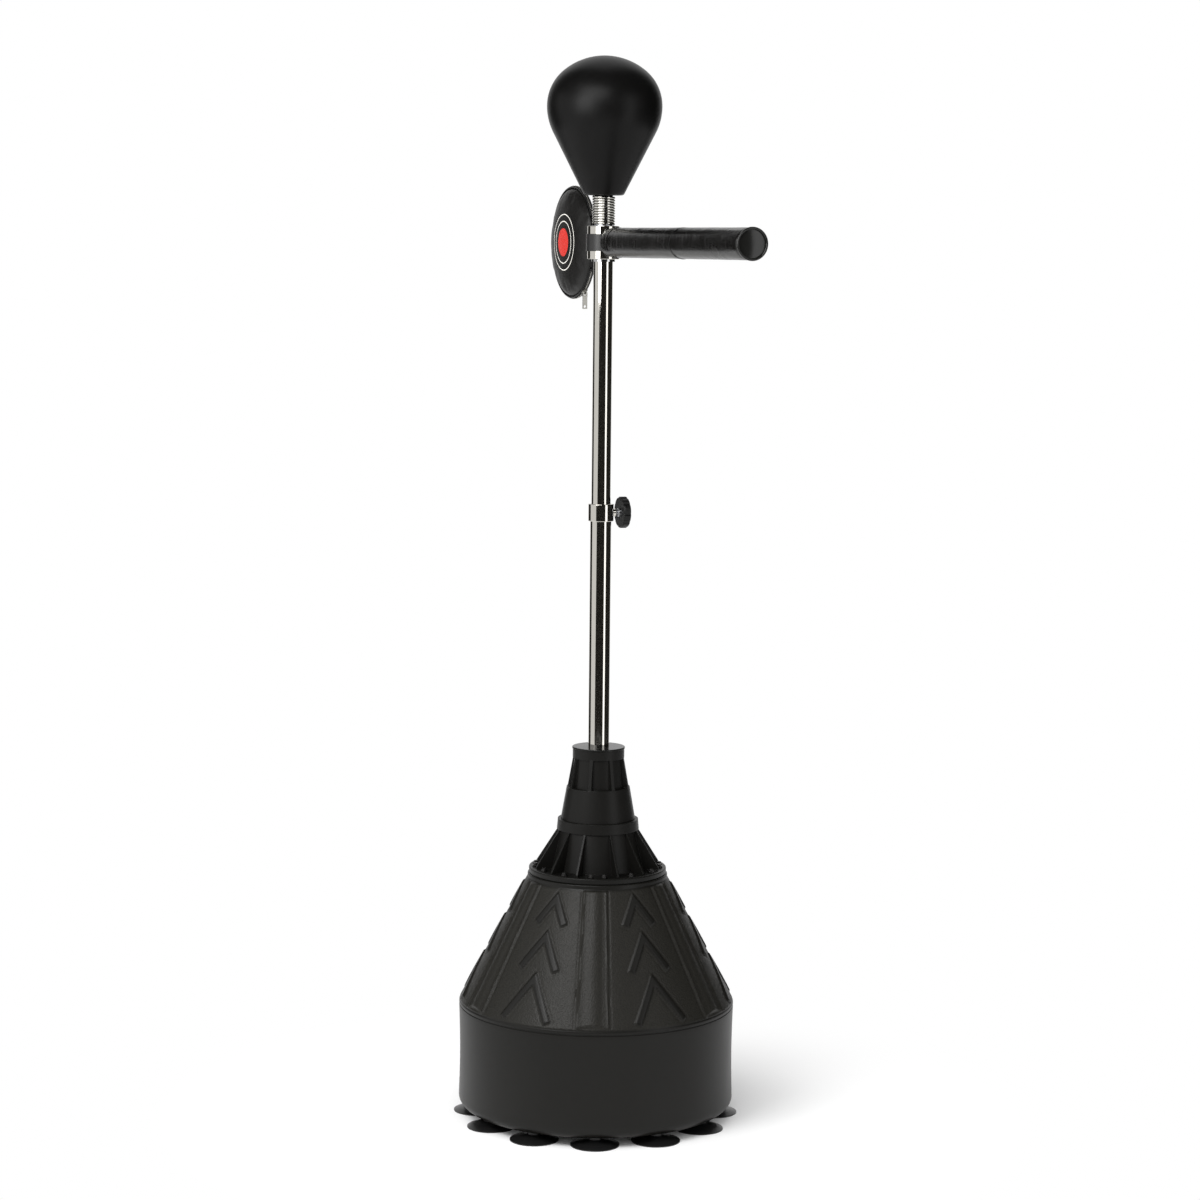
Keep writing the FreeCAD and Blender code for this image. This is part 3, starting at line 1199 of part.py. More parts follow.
def main():
    build_suction_cups()
    build_tank()
    build_filler()
    build_gasket()
    build_lower_neck()
    build_flange_screws()
    build_upper_neck()
    build_pole_socket()
    build_lower_pole()
    build_height_collar()
    build_knob()
    build_upper_pole()
    build_stop_ring()
    build_bearings()
    build_hub()
    build_bar()
    build_target()
    build_zip()
    build_zip_pull()
    build_spring()
    build_ball()
    doc.recompute()
    check_document()
    write_nodes()


main()
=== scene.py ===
"""A free-standing reflex ball stand with a spinning strike bar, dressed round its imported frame.

All lengths are metres. The pole stands on the Z axis, the floor is Z = 0, and the strike bar reaches
towards -Y and a little towards +X. Moulded, rubber and metal parts keep the frame's own shapes and get
their finishes here.
The blown tank shell, the flange screws' heads, the padded pieces, the bar's end cap, the ball and the
spring are meshes that take the place of the plain ones. The seams, the piping, the zip's teeth and the
stitches are added.
"""
import json
import logging
import math
from dataclasses import dataclass, field
from enum import Enum
from itertools import product
from typing import Callable, Sequence, Union

import bmesh
import bpy
import numpy as np
from mathutils import Matrix, Vector, noise


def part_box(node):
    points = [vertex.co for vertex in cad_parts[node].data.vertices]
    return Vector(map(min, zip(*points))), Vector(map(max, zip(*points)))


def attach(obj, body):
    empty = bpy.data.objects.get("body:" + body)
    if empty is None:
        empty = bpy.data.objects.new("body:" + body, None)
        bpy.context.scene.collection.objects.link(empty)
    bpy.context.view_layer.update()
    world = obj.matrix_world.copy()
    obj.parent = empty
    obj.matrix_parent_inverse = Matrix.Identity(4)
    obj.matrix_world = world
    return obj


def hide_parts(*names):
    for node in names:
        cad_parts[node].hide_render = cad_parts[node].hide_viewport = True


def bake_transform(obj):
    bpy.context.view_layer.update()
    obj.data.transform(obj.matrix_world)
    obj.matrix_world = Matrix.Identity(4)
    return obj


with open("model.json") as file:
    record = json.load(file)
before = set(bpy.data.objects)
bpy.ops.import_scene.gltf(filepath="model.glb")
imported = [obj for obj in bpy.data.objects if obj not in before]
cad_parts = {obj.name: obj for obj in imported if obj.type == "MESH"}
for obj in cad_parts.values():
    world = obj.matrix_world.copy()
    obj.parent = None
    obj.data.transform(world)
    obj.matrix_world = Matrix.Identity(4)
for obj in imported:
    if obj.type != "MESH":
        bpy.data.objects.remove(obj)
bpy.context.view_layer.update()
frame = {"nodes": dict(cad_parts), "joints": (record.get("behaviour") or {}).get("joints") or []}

log = logging.getLogger("reflex_stand")

MM = 0.001
UP = Vector((0.0, 0.0, 1.0))
WHITE = (1.0, 1.0, 1.0, 1.0)
Colour = tuple[float, float, float]
Outline = list[tuple[float, float]]
Number = Union[float, "Wire"]


# ---------------------------------------------------------------- node graphs


class Wire:
    """A node socket that can be used in arithmetic, each operation adding its Math node."""

    def __init__(self, graph: "Graph", socket: bpy.types.NodeSocket) -> None:
        """Wraps a socket of a graph.

        Args:
            graph: The graph that holds the socket's node.
            socket: The output socket.
        """
        self.graph = graph
        self.socket = socket

    def _maths(self, operation: str, *terms: Number) -> "Wire":
        """Adds a Math node of the terms and gives its value."""
        values = dict(enumerate(terms))
        return self.graph.add("ShaderNodeMath", {"operation": operation}, values)["Value"]

    def __add__(self, other: Number) -> "Wire":
        """Sum with a number or a socket."""
        return self._maths("ADD", self, other)

    def __radd__(self, other: Number) -> "Wire":
        """Sum, with the socket on the right."""
        return self._maths("ADD", other, self)

    def __sub__(self, other: Number) -> "Wire":
        """Difference with a number or a socket."""
        return self._maths("SUBTRACT", self, other)

    def __rsub__(self, other: Number) -> "Wire":
        """Difference, with the socket on the right."""
        return self._maths("SUBTRACT", other, self)

    def __mul__(self, other: Number) -> "Wire":
        """Product with a number or a socket."""
        return self._maths("MULTIPLY", self, other)

    def __rmul__(self, other: Number) -> "Wire":
        """Product, with the socket on the right."""
        return self._maths("MULTIPLY", other, self)

    def __pow__(self, other: Number) -> "Wire":
        """Power of a number or a socket."""
        return self._maths("POWER", self, other)

    def __abs__(self) -> "Wire":
        """Absolute value."""
        return self._maths("ABSOLUTE", self)

    def most(self, other: Number) -> "Wire":
        """The greater of two values."""
        return self._maths("MAXIMUM", self, other)

    def step(self, low: float, high: float, start: float = 0.0, end: float = 1.0) -> "Wire":
        """A smooth step of this value.

        Args:
            low: Value at which the step starts.
            high: Value at which the step ends.
            start: Result below the step.
            end: Result above the step.

        Returns:
            The stepped value.
        """
        values = {"Value": self, "From Min": low, "From Max": high, "To Min": start, "To Max": end}
        return self.graph.add("ShaderNodeMapRange", {"interpolation_type": "SMOOTHSTEP"}, values)["Result"]


class Knot:
    """A node, whose outputs are read by name."""

    def __init__(self, graph: "Graph", node: bpy.types.Node) -> None:
        """Wraps a node of a graph."""
        self.graph = graph
        self.node = node

    def __getitem__(self, name: str) -> Wire:
        """The output with that identifier or name."""
        return Wire(self.graph, find_socket(self.node.outputs, name))


def find_socket(sockets: Sequence[bpy.types.NodeSocket], key: Union[str, int]) -> bpy.types.NodeSocket:
    """Finds a socket by its place, its identifier or its name.

    Args:
        sockets: The inputs or outputs of a node.
        key: Place, identifier or name.

    Returns:
        The socket.
    """
    if isinstance(key, int):
        return sockets[key]
    for socket in sockets:
        if socket.identifier == key:
            return socket
    for socket in sockets:
        if socket.name == key and socket.enabled:
            return socket
    raise KeyError(f"no socket named {key}")


class Graph:
    """A shader or geometry tree under construction."""

    def __init__(self, tree: bpy.types.NodeTree) -> None:
        """Starts on a tree that is empty."""
        self.tree = tree

    def add(self, kind: str, settings: dict | None = None, values: dict | None = None) -> Knot:
        """Adds one node.

        Args:
            kind: The node's type.
            settings: Its properties, set first.
            values: For each input, by place, identifier or name, a value or a Wire.

        Returns:
            The node.
        """
        node = self.tree.nodes.new(kind)
        for name, setting in (settings or {}).items():
            setattr(node, name, setting)
        for key, value in (values or {}).items():
            socket = find_socket(node.inputs, key)
            if isinstance(value, Wire):
                self.tree.links.new(value.socket, socket)
            else:
                socket.default_value = value
        return Knot(self, node)

    def vector(self, operation: str, *terms: Union[Wire, Vector]) -> Knot:
        """Adds a Vector Math node of the terms.

        Args:
            operation: What it works out.
            terms: Its inputs, in order.

        Returns:
            The node.
        """
        return self.add("ShaderNodeVectorMath", {"operation": operation}, dict(enumerate(terms)))

    def place(self, scale: Sequence[float] = (1.0, 1.0, 1.0)) -> Wire:
        """Object coordinates, stretched by a scale along each axis.

        Args:
            scale: The scale.

        Returns:
            The coordinates.
        """
        here = self.add("ShaderNodeTexCoord")["Object"]
        if tuple(scale) == (1.0, 1.0, 1.0):
            return here
        return self.add("ShaderNodeMapping", {}, {"Vector": here, "Scale": tuple(scale)})["Vector"]

    def speckle(self, where: Wire, size: float, detail: float = 2.0, rough: float = 0.5) -> Wire:
        """Noise from 0 to 1 whose blots have about the given size in metres.

        Args:
            where: Coordinates.
            size: Size of a blot.
            detail: Rounds of finer noise.
            rough: Strength of the finer noise.

        Returns:
            The noise.
        """
        values = {"Vector": where, "Scale": 1.0 / size, "Detail": detail, "Roughness": rough}
        return self.add("ShaderNodeTexNoise", {}, values)["Fac"]

    def pebbles(self, where: Wire, size: float) -> Wire:
        """Rounded cells of the given size, 0 at each cell's middle.

        Args:
            where: Coordinates.
            size: Size of a cell in metres.

        Returns:
            The distance from the cell's middle.
        """
        settings = {"feature": "SMOOTH_F1"}
        values = {"Vector": where, "Scale": 1.0 / size, "Smoothness": 0.35}
        return self.add("ShaderNodeTexVoronoi", settings, values)["Distance"]

    def tint(self, amount: Number, low: Union[Colour, Wire], high: Union[Colour, Wire]) -> Wire:
        """Mixes two colours by an amount from 0 to 1.

        Args:
            amount: The second colour's share.
            low: The first colour.
            high: The second colour.

        Returns:
            The mixed colour.
        """
        ends = [c if isinstance(c, Wire) else (*c, 1.0) for c in (low, high)]
        values = {"Factor_Float": amount, "A_Color": ends[0], "B_Color": ends[1]}
        return self.add("ShaderNodeMix", {"data_type": "RGBA"}, values)["Result_Color"]

    def bump(self, height: Wire, rounding: float = 0.0) -> Wire:
        """A normal from a height in metres, over edges that are rounded by a radius.

        Args:
            height: The height.
            rounding: Radius of the edges, or 0 to leave them.

        Returns:
            The normal.
        """
        values: dict = {"Height": height, "Distance": 1.0, "Strength": 1.0}
        if rounding > 0.0:
            values["Normal"] = self.add("ShaderNodeBevel", {"samples": 4}, {"Radius": rounding})["Normal"]
        return self.add("ShaderNodeBump", {}, values)["Normal"]


def shader_graph(owner: Union[bpy.types.Material, bpy.types.World]) -> Graph:
    """Empties the node tree of a material or a world, and gives its graph.

    Args:
        owner: The material or world.

    Returns:
        The graph, with no nodes.
    """
    owner.use_nodes = True
    owner.node_tree.nodes.clear()
    return Graph(owner.node_tree)


# ---------------------------------------------------------------- finishes


MADE: dict[str, bpy.types.Material] = {}


@dataclass(frozen=True)
class Finish:
    """One surface finish: the shader's constants, and what varies over the surface.

    Attributes:
        name: Name of the material.
        slot: Material slot of the record that it stands for; not used.
        colour: Base colour, linear.
        rough: Mean roughness.
        metal: Metallic share.
        specular: Strength of the reflection of a plastic or rubber surface.
        rounding: Radius in metres by which sharp edges catch the light.
    """

    name: str
    slot: str
    colour: Colour
    rough: float
    metal: float = 0.0
    specular: float = 0.5
    rounding: float = 0.0

    def texture(self, graph: Graph) -> dict:
        """The sockets that vary over the surface; a plain finish has a faint cloudiness.

        Args:
            graph: The material's graph.

        Returns:
            Wires by the name of the shader's input.
        """
        cloud = graph.speckle(graph.place(), 0.02)
        height = graph.speckle(graph.place(), 0.0006) * 0.00002
        return {
            "Roughness": self.rough + 0.08 * (cloud - 0.5),
            "Normal": graph.bump(height, self.rounding),
        }

    def material(self) -> bpy.types.Material:
        """The finish as a material, made once.

        Returns:
            The material.
        """
        if self.name in MADE:
            return MADE[self.name]
        made = bpy.data.materials.new(self.name + "_finish")
        MADE[self.name] = made
        graph = shader_graph(made)
        values = {
            "Base Color": (*self.colour, 1.0),
            "Roughness": self.rough,
            "Metallic": self.metal,
            "Specular IOR Level": self.specular,
        }
        values.update(self.texture(graph))
        shader = graph.add("ShaderNodeBsdfPrincipled", {}, values)
        graph.add("ShaderNodeOutputMaterial", {}, {"Surface": shader["BSDF"]})
        return made


@dataclass(frozen=True)
class Moulded(Finish):
    """Moulded plastic with a fine leathery grain, which an attribute can hold to part of the piece; there a
    painted sheen also lightens the colour.

    Attributes:
        cell: Size of a grain cell.
        relief: Height of the grain.
        masked: Whether the attribute "grain" says where the grain is, and where the painted sheen and its
            painted highlights on the grain's cells go.
    """

    cell: float = 0.002
    relief: float = 0.00012
    masked: bool = False

    def texture(self, graph: Graph) -> dict:
        """Grain, a cloudy gloss and faint scuffs, and where masked a painted sheen with painted highlights on
        the grain's cells.

        Args:
            graph: The material's graph.

        Returns:
            Wires by the name of the shader's input.
        """
        where = graph.place()
        grain = graph.pebbles(where, self.cell) + 0.5 * graph.speckle(where, self.cell * 2.0)
        cloud = graph.speckle(graph.place((1.0, 1.0, 0.4)), 0.06, 3.0)
        scuff = graph.speckle(graph.place((1.0, 1.0, 0.15)), 0.004, 4.0, 0.7).step(0.62, 0.75)
        mask: Number = 1.0
        if self.masked:
            mask = graph.add("ShaderNodeAttribute", {"attribute_name": "grain"})["Fac"]
        height = (grain * mask) * self.relief + 0.000015 * graph.speckle(where, 0.0009)
        lighter = tuple(c * 1.5 + 0.002 for c in self.colour)
        base = graph.tint(cloud * 0.5 + scuff * 0.2, self.colour, lighter)
        # Painted sheen: where masked, the colour is lightened, most on the grain's cells as painted
        # highlights.
        if self.masked:
            painted_sheen_colour = tuple(c * 2.7 for c in self.colour)
            base = graph.tint(mask * (0.35 + 0.65 * grain.step(0.2, 0.9)), base, painted_sheen_colour)
        return {
            "Base Color": base,
            "Roughness": self.rough + 0.10 * (cloud - 0.5) + 0.05 * mask - 0.05 * scuff,
            "Normal": graph.bump(height, self.rounding),
        }


@dataclass(frozen=True)
class Plated(Finish):
    """Bright or dull plating, with faint drawing lines along Z and a haze of fingerprints.

    Attributes:
        haze: How much the roughness varies.
    """

    haze: float = 0.04

    def texture(self, graph: Graph) -> dict:
        """Haze and drawing lines.

        Args:
            graph: The material's graph.

        Returns:
            Wires by the name of the shader's input.
        """
        smear = graph.speckle(graph.place((1.0, 1.0, 0.3)), 0.03, 4.0, 0.6)
        lines = graph.speckle(graph.place((1.0, 1.0, 0.02)), 0.0012, 2.0)
        height = lines * 0.0000003
        return {
            "Roughness": self.rough + self.haze * smear.step(0.45, 0.8),
            "Normal": graph.bump(height, self.rounding),
        }


@dataclass(frozen=True)
class Hide(Finish):
    """Coated fabric with a leather grain and soft creases.

    Attributes:
        cell: Size of a grain cell.
        crease: Height of the creases.
        fold: Size of the creases.
    """

    cell: float = 0.0011
    crease: float = 0.0003
    fold: float = 0.03

    def texture(self, graph: Graph) -> dict:
        """Grain, creases and worn gloss.

        Args:
            graph: The material's graph.

        Returns:
            Wires by the name of the shader's input.
        """
        where = graph.place()
        grain = graph.pebbles(where, self.cell) * 0.00003
        folds = graph.speckle(where, self.fold, 3.0, 0.45)
        sharp = 1 - abs(folds * 2.0 - 1)
        wear = graph.speckle(where, 0.05, 4.0, 0.6)
        lighter = tuple(c * 1.6 + 0.001 for c in self.colour)
        return {
            "Base Color": graph.tint(wear.step(0.4, 0.9) * 0.6, self.colour, lighter),
            "Roughness": self.rough + 0.12 * (wear - 0.5),
            "Normal": graph.bump(grain + sharp * self.crease, self.rounding),
        }


@dataclass(frozen=True)
class Printed(Hide):
    """The target's cover, with its dot and two thin rings printed on one face.

    Attributes:
        centre: Middle of the pad.
        facing: Direction that the printed face looks in.
        dot: Radius of the red dot.
        rings: Radii of the white rings.
        line: Half width of a ring.
        ink: Colour of the dot.
        white: Colour of the rings.
    """

    centre: tuple[float, float, float] = (0.0, 0.0, 0.0)
    facing: tuple[float, float, float] = (1.0, 0.0, 0.0)
    dot: float = 0.0233
    rings: tuple[float, ...] = (0.0348, 0.0463)
    line: float = 0.00068
    ink: Colour = (0.52, 0.026, 0.018)
    white: Colour = (0.82, 0.80, 0.74)

    def texture(self, graph: Graph) -> dict:
        """Leather with the print over it.

        Args:
            graph: The material's graph.

        Returns:
            Wires by the name of the shader's input.
        """
        made = super().texture(graph)
        reach = graph.vector("SUBTRACT", graph.place(), Vector(self.centre))["Vector"]
        along = graph.vector("DOT_PRODUCT", reach, Vector(self.facing))["Value"]
        length = graph.vector("LENGTH", reach)["Value"]
        radius = (length * length - along * along).most(0.0) ** 0.5
        edge = 0.00025
        front = along.step(0.0, 0.001)
        disc = radius.step(self.dot - edge, self.dot + edge, 1.0, 0.0) * front
        band: Number = 0.0
        for ring in self.rings:
            band = abs(radius - ring).step(self.line - edge, self.line + edge, 1.0, 0.0) + band
        leather = made["Base Color"]
        inked = graph.tint(disc, leather, self.ink)
        made["Base Color"] = graph.tint(band * front, inked, self.white)
        made["Roughness"] = made["Roughness"] - 0.06 * disc
        return made


@dataclass(frozen=True)
class Woven(Finish):
    """Woven tape: a fine twill in object coordinates."""

    def texture(self, graph: Graph) -> dict:
        """Threads that cross at an angle.

        Args:
            graph: The material's graph.

        Returns:
            Wires by the name of the shader's input.
        """
        waves = []
        for rotation in (0.8, -0.8):
            values = {"Vector": graph.place(), "Rotation": (rotation, 0.3, 0.0)}
            leaning = graph.add("ShaderNodeMapping", {}, values)["Vector"]
            values = {"Vector": leaning, "Scale": 900.0, "Distortion": 0.6}
            waves.append(graph.add("ShaderNodeTexWave", {}, values)["Fac"])
        cloth = waves[0].most(waves[1])
        lighter = tuple(c * 2.2 + 0.004 for c in self.colour)
        return {
            "Base Color": graph.tint(cloth, self.colour, lighter),
            "Normal": graph.bump(cloth * 0.00012, self.rounding),
        }


class Finishes(Enum):
    """Every finish of the stand."""

    TANK = Moulded("blown_tank_plastic", "black_moulded", (0.0050, 0.0047, 0.0038), 0.40, specular=0.21,
                   masked=True, cell=0.0026, relief=0.00035)
    NECK = Moulded("neck_plastic", "neck_plastic", (0.0044, 0.0042, 0.0036), 0.34, specular=0.18,
                   rounding=0.0011, cell=0.0016, relief=0.00005)
    GLOSS = Moulded("gloss_plastic", "gloss_black", (0.006, 0.006, 0.0055), 0.16, specular=0.4,
                    rounding=0.0006, cell=0.003, relief=0.00002)
    DISC = Moulded("disc_plastic", "gloss_black", (0.0040, 0.0040, 0.0037), 0.2, specular=0.2,
                   rounding=0.0008, cell=0.003, relief=0.00002)
    KNOB = Moulded("knob_plastic", "gloss_black", (0.0035, 0.0035, 0.0035), 0.26, specular=0.24,
                   rounding=0.0008, cell=0.001, relief=0.00004)
    CAP = Moulded("cap_plastic", "cap_plastic", (0.011, 0.011, 0.011), 0.38, rounding=0.0006,
                  cell=0.0012, relief=0.00005)
    RUBBER = Moulded("cup_rubber", "cup_rubber", (0.0065, 0.0065, 0.0065), 0.30, specular=0.45,
                     rounding=0.0006, cell=0.004, relief=0.00006)
    SEAL = Finish("seal_rubber", "seal_rubber", (0.012, 0.012, 0.012), 0.62, specular=0.35, rounding=0.0004)
    CHROME = Plated("chrome_plate", "chrome", (0.66, 0.64, 0.59), 0.05, metal=1.0, haze=0.03)
    SPRING = Plated("spring_chrome", "spring_chrome", (0.66, 0.65, 0.61), 0.09, metal=1.0, haze=0.08)
    ZINC = Plated("zinc_plate", "zinc_steel", (0.55, 0.56, 0.58), 0.28, metal=1.0, haze=0.15, rounding=0.0004)
    BLACK_ZINC = Plated("black_oxide", "gloss_black", (0.035, 0.034, 0.033), 0.26, metal=0.85, haze=0.1,
                        rounding=0.0003)
    STEEL = Plated("bearing_steel", "bearing_steel", (0.50, 0.50, 0.50), 0.16, metal=1.0, haze=0.06)
    BAND = Moulded("band_enamel", "band_black", (0.010, 0.010, 0.010), 0.33, rounding=0.0008,
                   cell=0.0012, relief=0.00003)
    BAR = Hide("bar_vinyl", "bar_vinyl", (0.0036, 0.0034, 0.0032), 0.26, specular=0.26,
               crease=0.0005, fold=0.03)
    BALL = Hide("ball_leather", "ball_leather", (0.0030, 0.0029, 0.0028), 0.38, specular=0.15,
                cell=0.0009, crease=0.0001, fold=0.09)
    TAPE = Woven("zip_tape_weave", "zip_tape", (0.008, 0.008, 0.008), 0.75, specular=0.2)
    THREAD = Woven("thread", "zip_tape", (0.014, 0.014, 0.014), 0.6, specular=0.3)
    ZIP_METAL = Plated("zip_metal", "zip_metal", (0.42, 0.41, 0.38), 0.26, metal=1.0, haze=0.12,
                       rounding=0.0002)

    @property
    def material(self) -> bpy.types.Material:
        """The finish's material."""
        return self.value.material()


# ---------------------------------------------------------------- meshes


def new_piece(name: str, points: np.ndarray, faces: Sequence[Sequence[int]],
              crease: float = 40.0) -> bpy.types.Object:
    """Makes a smooth-shaded object, with edges sharper than an angle left sharp.

    Args:
        name: Name of the piece.
        points: Corners, one row each.
        faces: Corner numbers of each face.
        crease: Angle in degrees past which an edge stays sharp.

    Returns:
        The linked object.
    """
    mesh = bpy.data.meshes.new(name)
    mesh.from_pydata([tuple(p) for p in points], [], [tuple(f) for f in faces])
    return link_piece(name, mesh, crease)


def link_piece(name: str, mesh: bpy.types.Mesh, crease: float = 40.0) -> bpy.types.Object:
    """Links a mesh as an object at the origin, smooth-shaded up to an angle.

    Args:
        name: Name of the object.
        mesh: Its mesh.
        crease: Angle in degrees past which an edge stays sharp.

    Returns:
        The object.
    """
    mesh.validate()
    mesh.shade_smooth()
    mesh.set_sharp_from_angle(angle=math.radians(crease))
    mesh.update()
    piece = bpy.data.objects.new(name, mesh)
    bpy.context.scene.collection.objects.link(piece)
    return piece


def bake_modifiers(piece: bpy.types.Object) -> None:
    """Turns a piece's modifiers into its mesh and removes them.

    Args:
        piece: The piece.
    """
    graph = bpy.context.evaluated_depsgraph_get()
    graph.update()
    made = bpy.data.meshes.new_from_object(piece.evaluated_get(graph), depsgraph=graph)
    piece.modifiers.clear()
    old = piece.data
    piece.data = made
    made.name = piece.name
    if not old.users:
        bpy.data.meshes.remove(old)


def dress(piece: bpy.types.Object, finish: Union[Finishes, Finish], body: str,
          *replaced: str) -> bpy.types.Object:
    """Gives a finished piece its material, its body and the nodes that it stands for.

    Args:
        piece: The piece, in place.
        finish: Its finish.
        body: Body that it moves with.
        replaced: CAD nodes that it takes the place of.

    Returns:
        The piece.
    """
    look = finish.value if isinstance(finish, Finishes) else finish
    piece.data.materials.clear()
    piece.data.materials.append(look.material())
    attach(piece, body)
    if replaced:
        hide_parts(*replaced)
    log.info("%s rides on %s", piece.name, body)
    return piece


def dress_node(name: str, finish: Finishes) -> None:
    """Gives a CAD node that stays a better material.

    Args:
        name: Name of the node.
        finish: Its finish.
    """
    node = frame["nodes"][name]
    for slot in node.material_slots:
        slot.material = finish.material
    log.info("%s keeps its shape, with %s", name, finish.value.name)


def arc(centre: tuple[float, float], radius: float, start: float, end: float, steps: int) -> Outline:
    """Points on an arc of an outline.

    Args:
        centre: Its centre, as distance from the axis and height.
        radius: Its radius.
        start: First angle in degrees, from the outward direction towards up.
        end: Last angle.
        steps: Number of chords.

    Returns:
        The points, both ends included.
    """
    angles = [math.radians(start + (end - start) * k / steps) for k in range(steps + 1)]
    return [(centre[0] + radius * math.cos(a), centre[1] + radius * math.sin(a)) for a in angles]


@dataclass(frozen=True)
class Seat:
    """A place to build on: an origin and an axis, with a direction that angles start from."""

    origin: Vector
    axis: Vector
    start: Vector

    @property
    def side(self) -> Vector:
        """The direction a quarter turn on from the start."""
        return self.axis.cross(self.start)

    def matrix(self) -> Matrix:
        """Turns local points, whose Z is the axis and X the start, into place."""
        turn = Matrix((self.start, self.side, self.axis)).transposed().to_4x4()
        return Matrix.Translation(self.origin) @ turn


def turned(name: str, outline: Sequence[tuple[float, float]], segments: int, seat: Seat,
           crease: float = 40.0) -> bpy.types.Object:
    """Turns an outline round a seat's axis; ends that lie on the axis close in one point.

    Args:
        name: Name of the piece.
        outline: Distances from the axis and heights, from the bottom up along the outside.
        segments: Steps round the axis.
        seat: Where the piece stands.
        crease: Angle past which an edge stays sharp.

    Returns:
        The object.
    """
    points: list[Vector] = []
    rows: list[list[int]] = []
    for radius, height in outline:
        count = 1 if radius < 1e-7 else segments
        rows.append(list(range(len(points), len(points) + count)))
        for k in range(count):
            angle = math.tau * k / segments
            points.append(Vector((radius * math.cos(angle), radius * math.sin(angle), height)))
    faces = []
    for low, high in zip(rows, rows[1:]):
        for k in range(segments):
            after = (k + 1) % segments
            if len(low) == 1 and len(high) == 1:
                continue
            if len(low) == 1:
                faces.append((low[0], high[after], high[k]))
            elif len(high) == 1:
                faces.append((low[k], low[after], high[0]))
            else:
                faces.append((low[k], low[after], high[after], high[k]))
    place = seat.matrix()
    return new_piece(name, np.array([place @ p for p in points]), faces, crease)


@dataclass(frozen=True)
class Filling:
    """How a padded cover swells.

    Attributes:
        voxel: Size of the mesh's faces before the last subdivision.
        pressure: Pressure of the filling.
        cap: How far a point may move.
        frames: Steps of the simulation.
        evening: Rounds of smoothing that take the cells' own pattern out.
    """

    voxel: float = 0.005
    pressure: float = 4.0
    cap: float = 0.008
    frames: int = 20
    evening: int = 4

    def swell(self, piece: bpy.types.Object, held: Callable[[Vector], bool]) -> None:
        """Fills a closed cover by simulating its cloth, then smooths it with one subdivision.

        Args:
            piece: A closed mesh a little smaller than the finished pad.
            held: Whether a point is sewn down.
        """
        remesh = piece.modifiers.new("cells", "REMESH")
        remesh.mode = "VOXEL"
        remesh.voxel_size = self.voxel
        bake_modifiers(piece)
        self._simulate(piece, held)
        even = piece.modifiers.new("even", "SMOOTH")
        even.factor = 0.5
        even.iterations = self.evening
        smooth = piece.modifiers.new("smooth", "SUBSURF")
        smooth.levels = 1
        smooth.render_levels = 1
        bake_modifiers(piece)
        piece.data.shade_smooth()

    def _simulate(self, piece: bpy.types.Object, held: Callable[[Vector], bool]) -> None:
        """Runs the cloth and keeps its last shape, with each point's travel capped.

        Args:
            piece: The closed mesh.
            held: Whether a point is sewn down.
        """
        group = piece.vertex_groups.new(name="sewn")
        group.add([v.index for v in piece.data.vertices if held(v.co)], 1.0, "REPLACE")
        cloth = piece.modifiers.new("filling", "CLOTH")
        cloth.settings.quality = 6
        cloth.settings.mass = 0.25
        cloth.settings.tension_stiffness = 18.0
        cloth.settings.compression_stiffness = 18.0
        cloth.settings.bending_stiffness = 0.8
        cloth.settings.vertex_group_mass = "sewn"
        cloth.settings.use_pressure = True
        cloth.settings.uniform_pressure_force = self.pressure
        cloth.settings.effector_weights.gravity = 0.0
        cloth.collision_settings.use_collision = False
        cloth.point_cache.frame_start = 1
        cloth.point_cache.frame_end = self.frames
        start = points_of(piece.data)
        scene = bpy.context.scene
        for step in range(1, self.frames + 1):
            scene.frame_set(step)
        graph = bpy.context.evaluated_depsgraph_get()
        end = points_of(piece.evaluated_get(graph).data)
        piece.modifiers.clear()
        piece.vertex_groups.clear()
        scene.frame_set(1)
        travel = end - start
        length = np.linalg.norm(travel, axis=1, keepdims=True)
        travel *= np.minimum(1.0, self.cap / np.maximum(length, 1e-9))
        piece.data.vertices.foreach_set("co", (start + travel).ravel())
        piece.data.update()


def hump(values: np.ndarray, at: Union[float, np.ndarray], width: float) -> np.ndarray:
    """A rounded hump of height 1 at a value, which dies out over a width."""
    return np.exp(-(((values - at) / width) ** 2))


def points_of(mesh: bpy.types.Mesh) -> np.ndarray:
    """A mesh's points, one row each.

    Args:
        mesh: The mesh.

    Returns:
        Its points.
    """
    found = np.zeros(len(mesh.vertices) * 3)
    mesh.vertices.foreach_get("co", found)
    return found.reshape(-1, 3)


def move_points(piece: bpy.types.Object, change: Callable[[np.ndarray], np.ndarray]) -> None:
    """Replaces a piece's points by a function of them.

    Args:
        piece: The piece.
        change: Gives the new points for the old.
    """
    piece.data.vertices.foreach_set("co", change(points_of(piece.data)).ravel())
    piece.data.update()


def smoothstep(values: np.ndarray, low: float, high: float) -> np.ndarray:
    """0 below low, 1 above high, and a smooth step between them.

    Args:
        values: What is stepped.
        low: Where the step starts.
        high: Where it ends.

    Returns:
        The stepped values.
    """
    share = np.clip((values - low) / (high - low), 0.0, 1.0)
    return share * share * (3.0 - 2.0 * share)


# ---------------------------------------------------------------- geometry trees


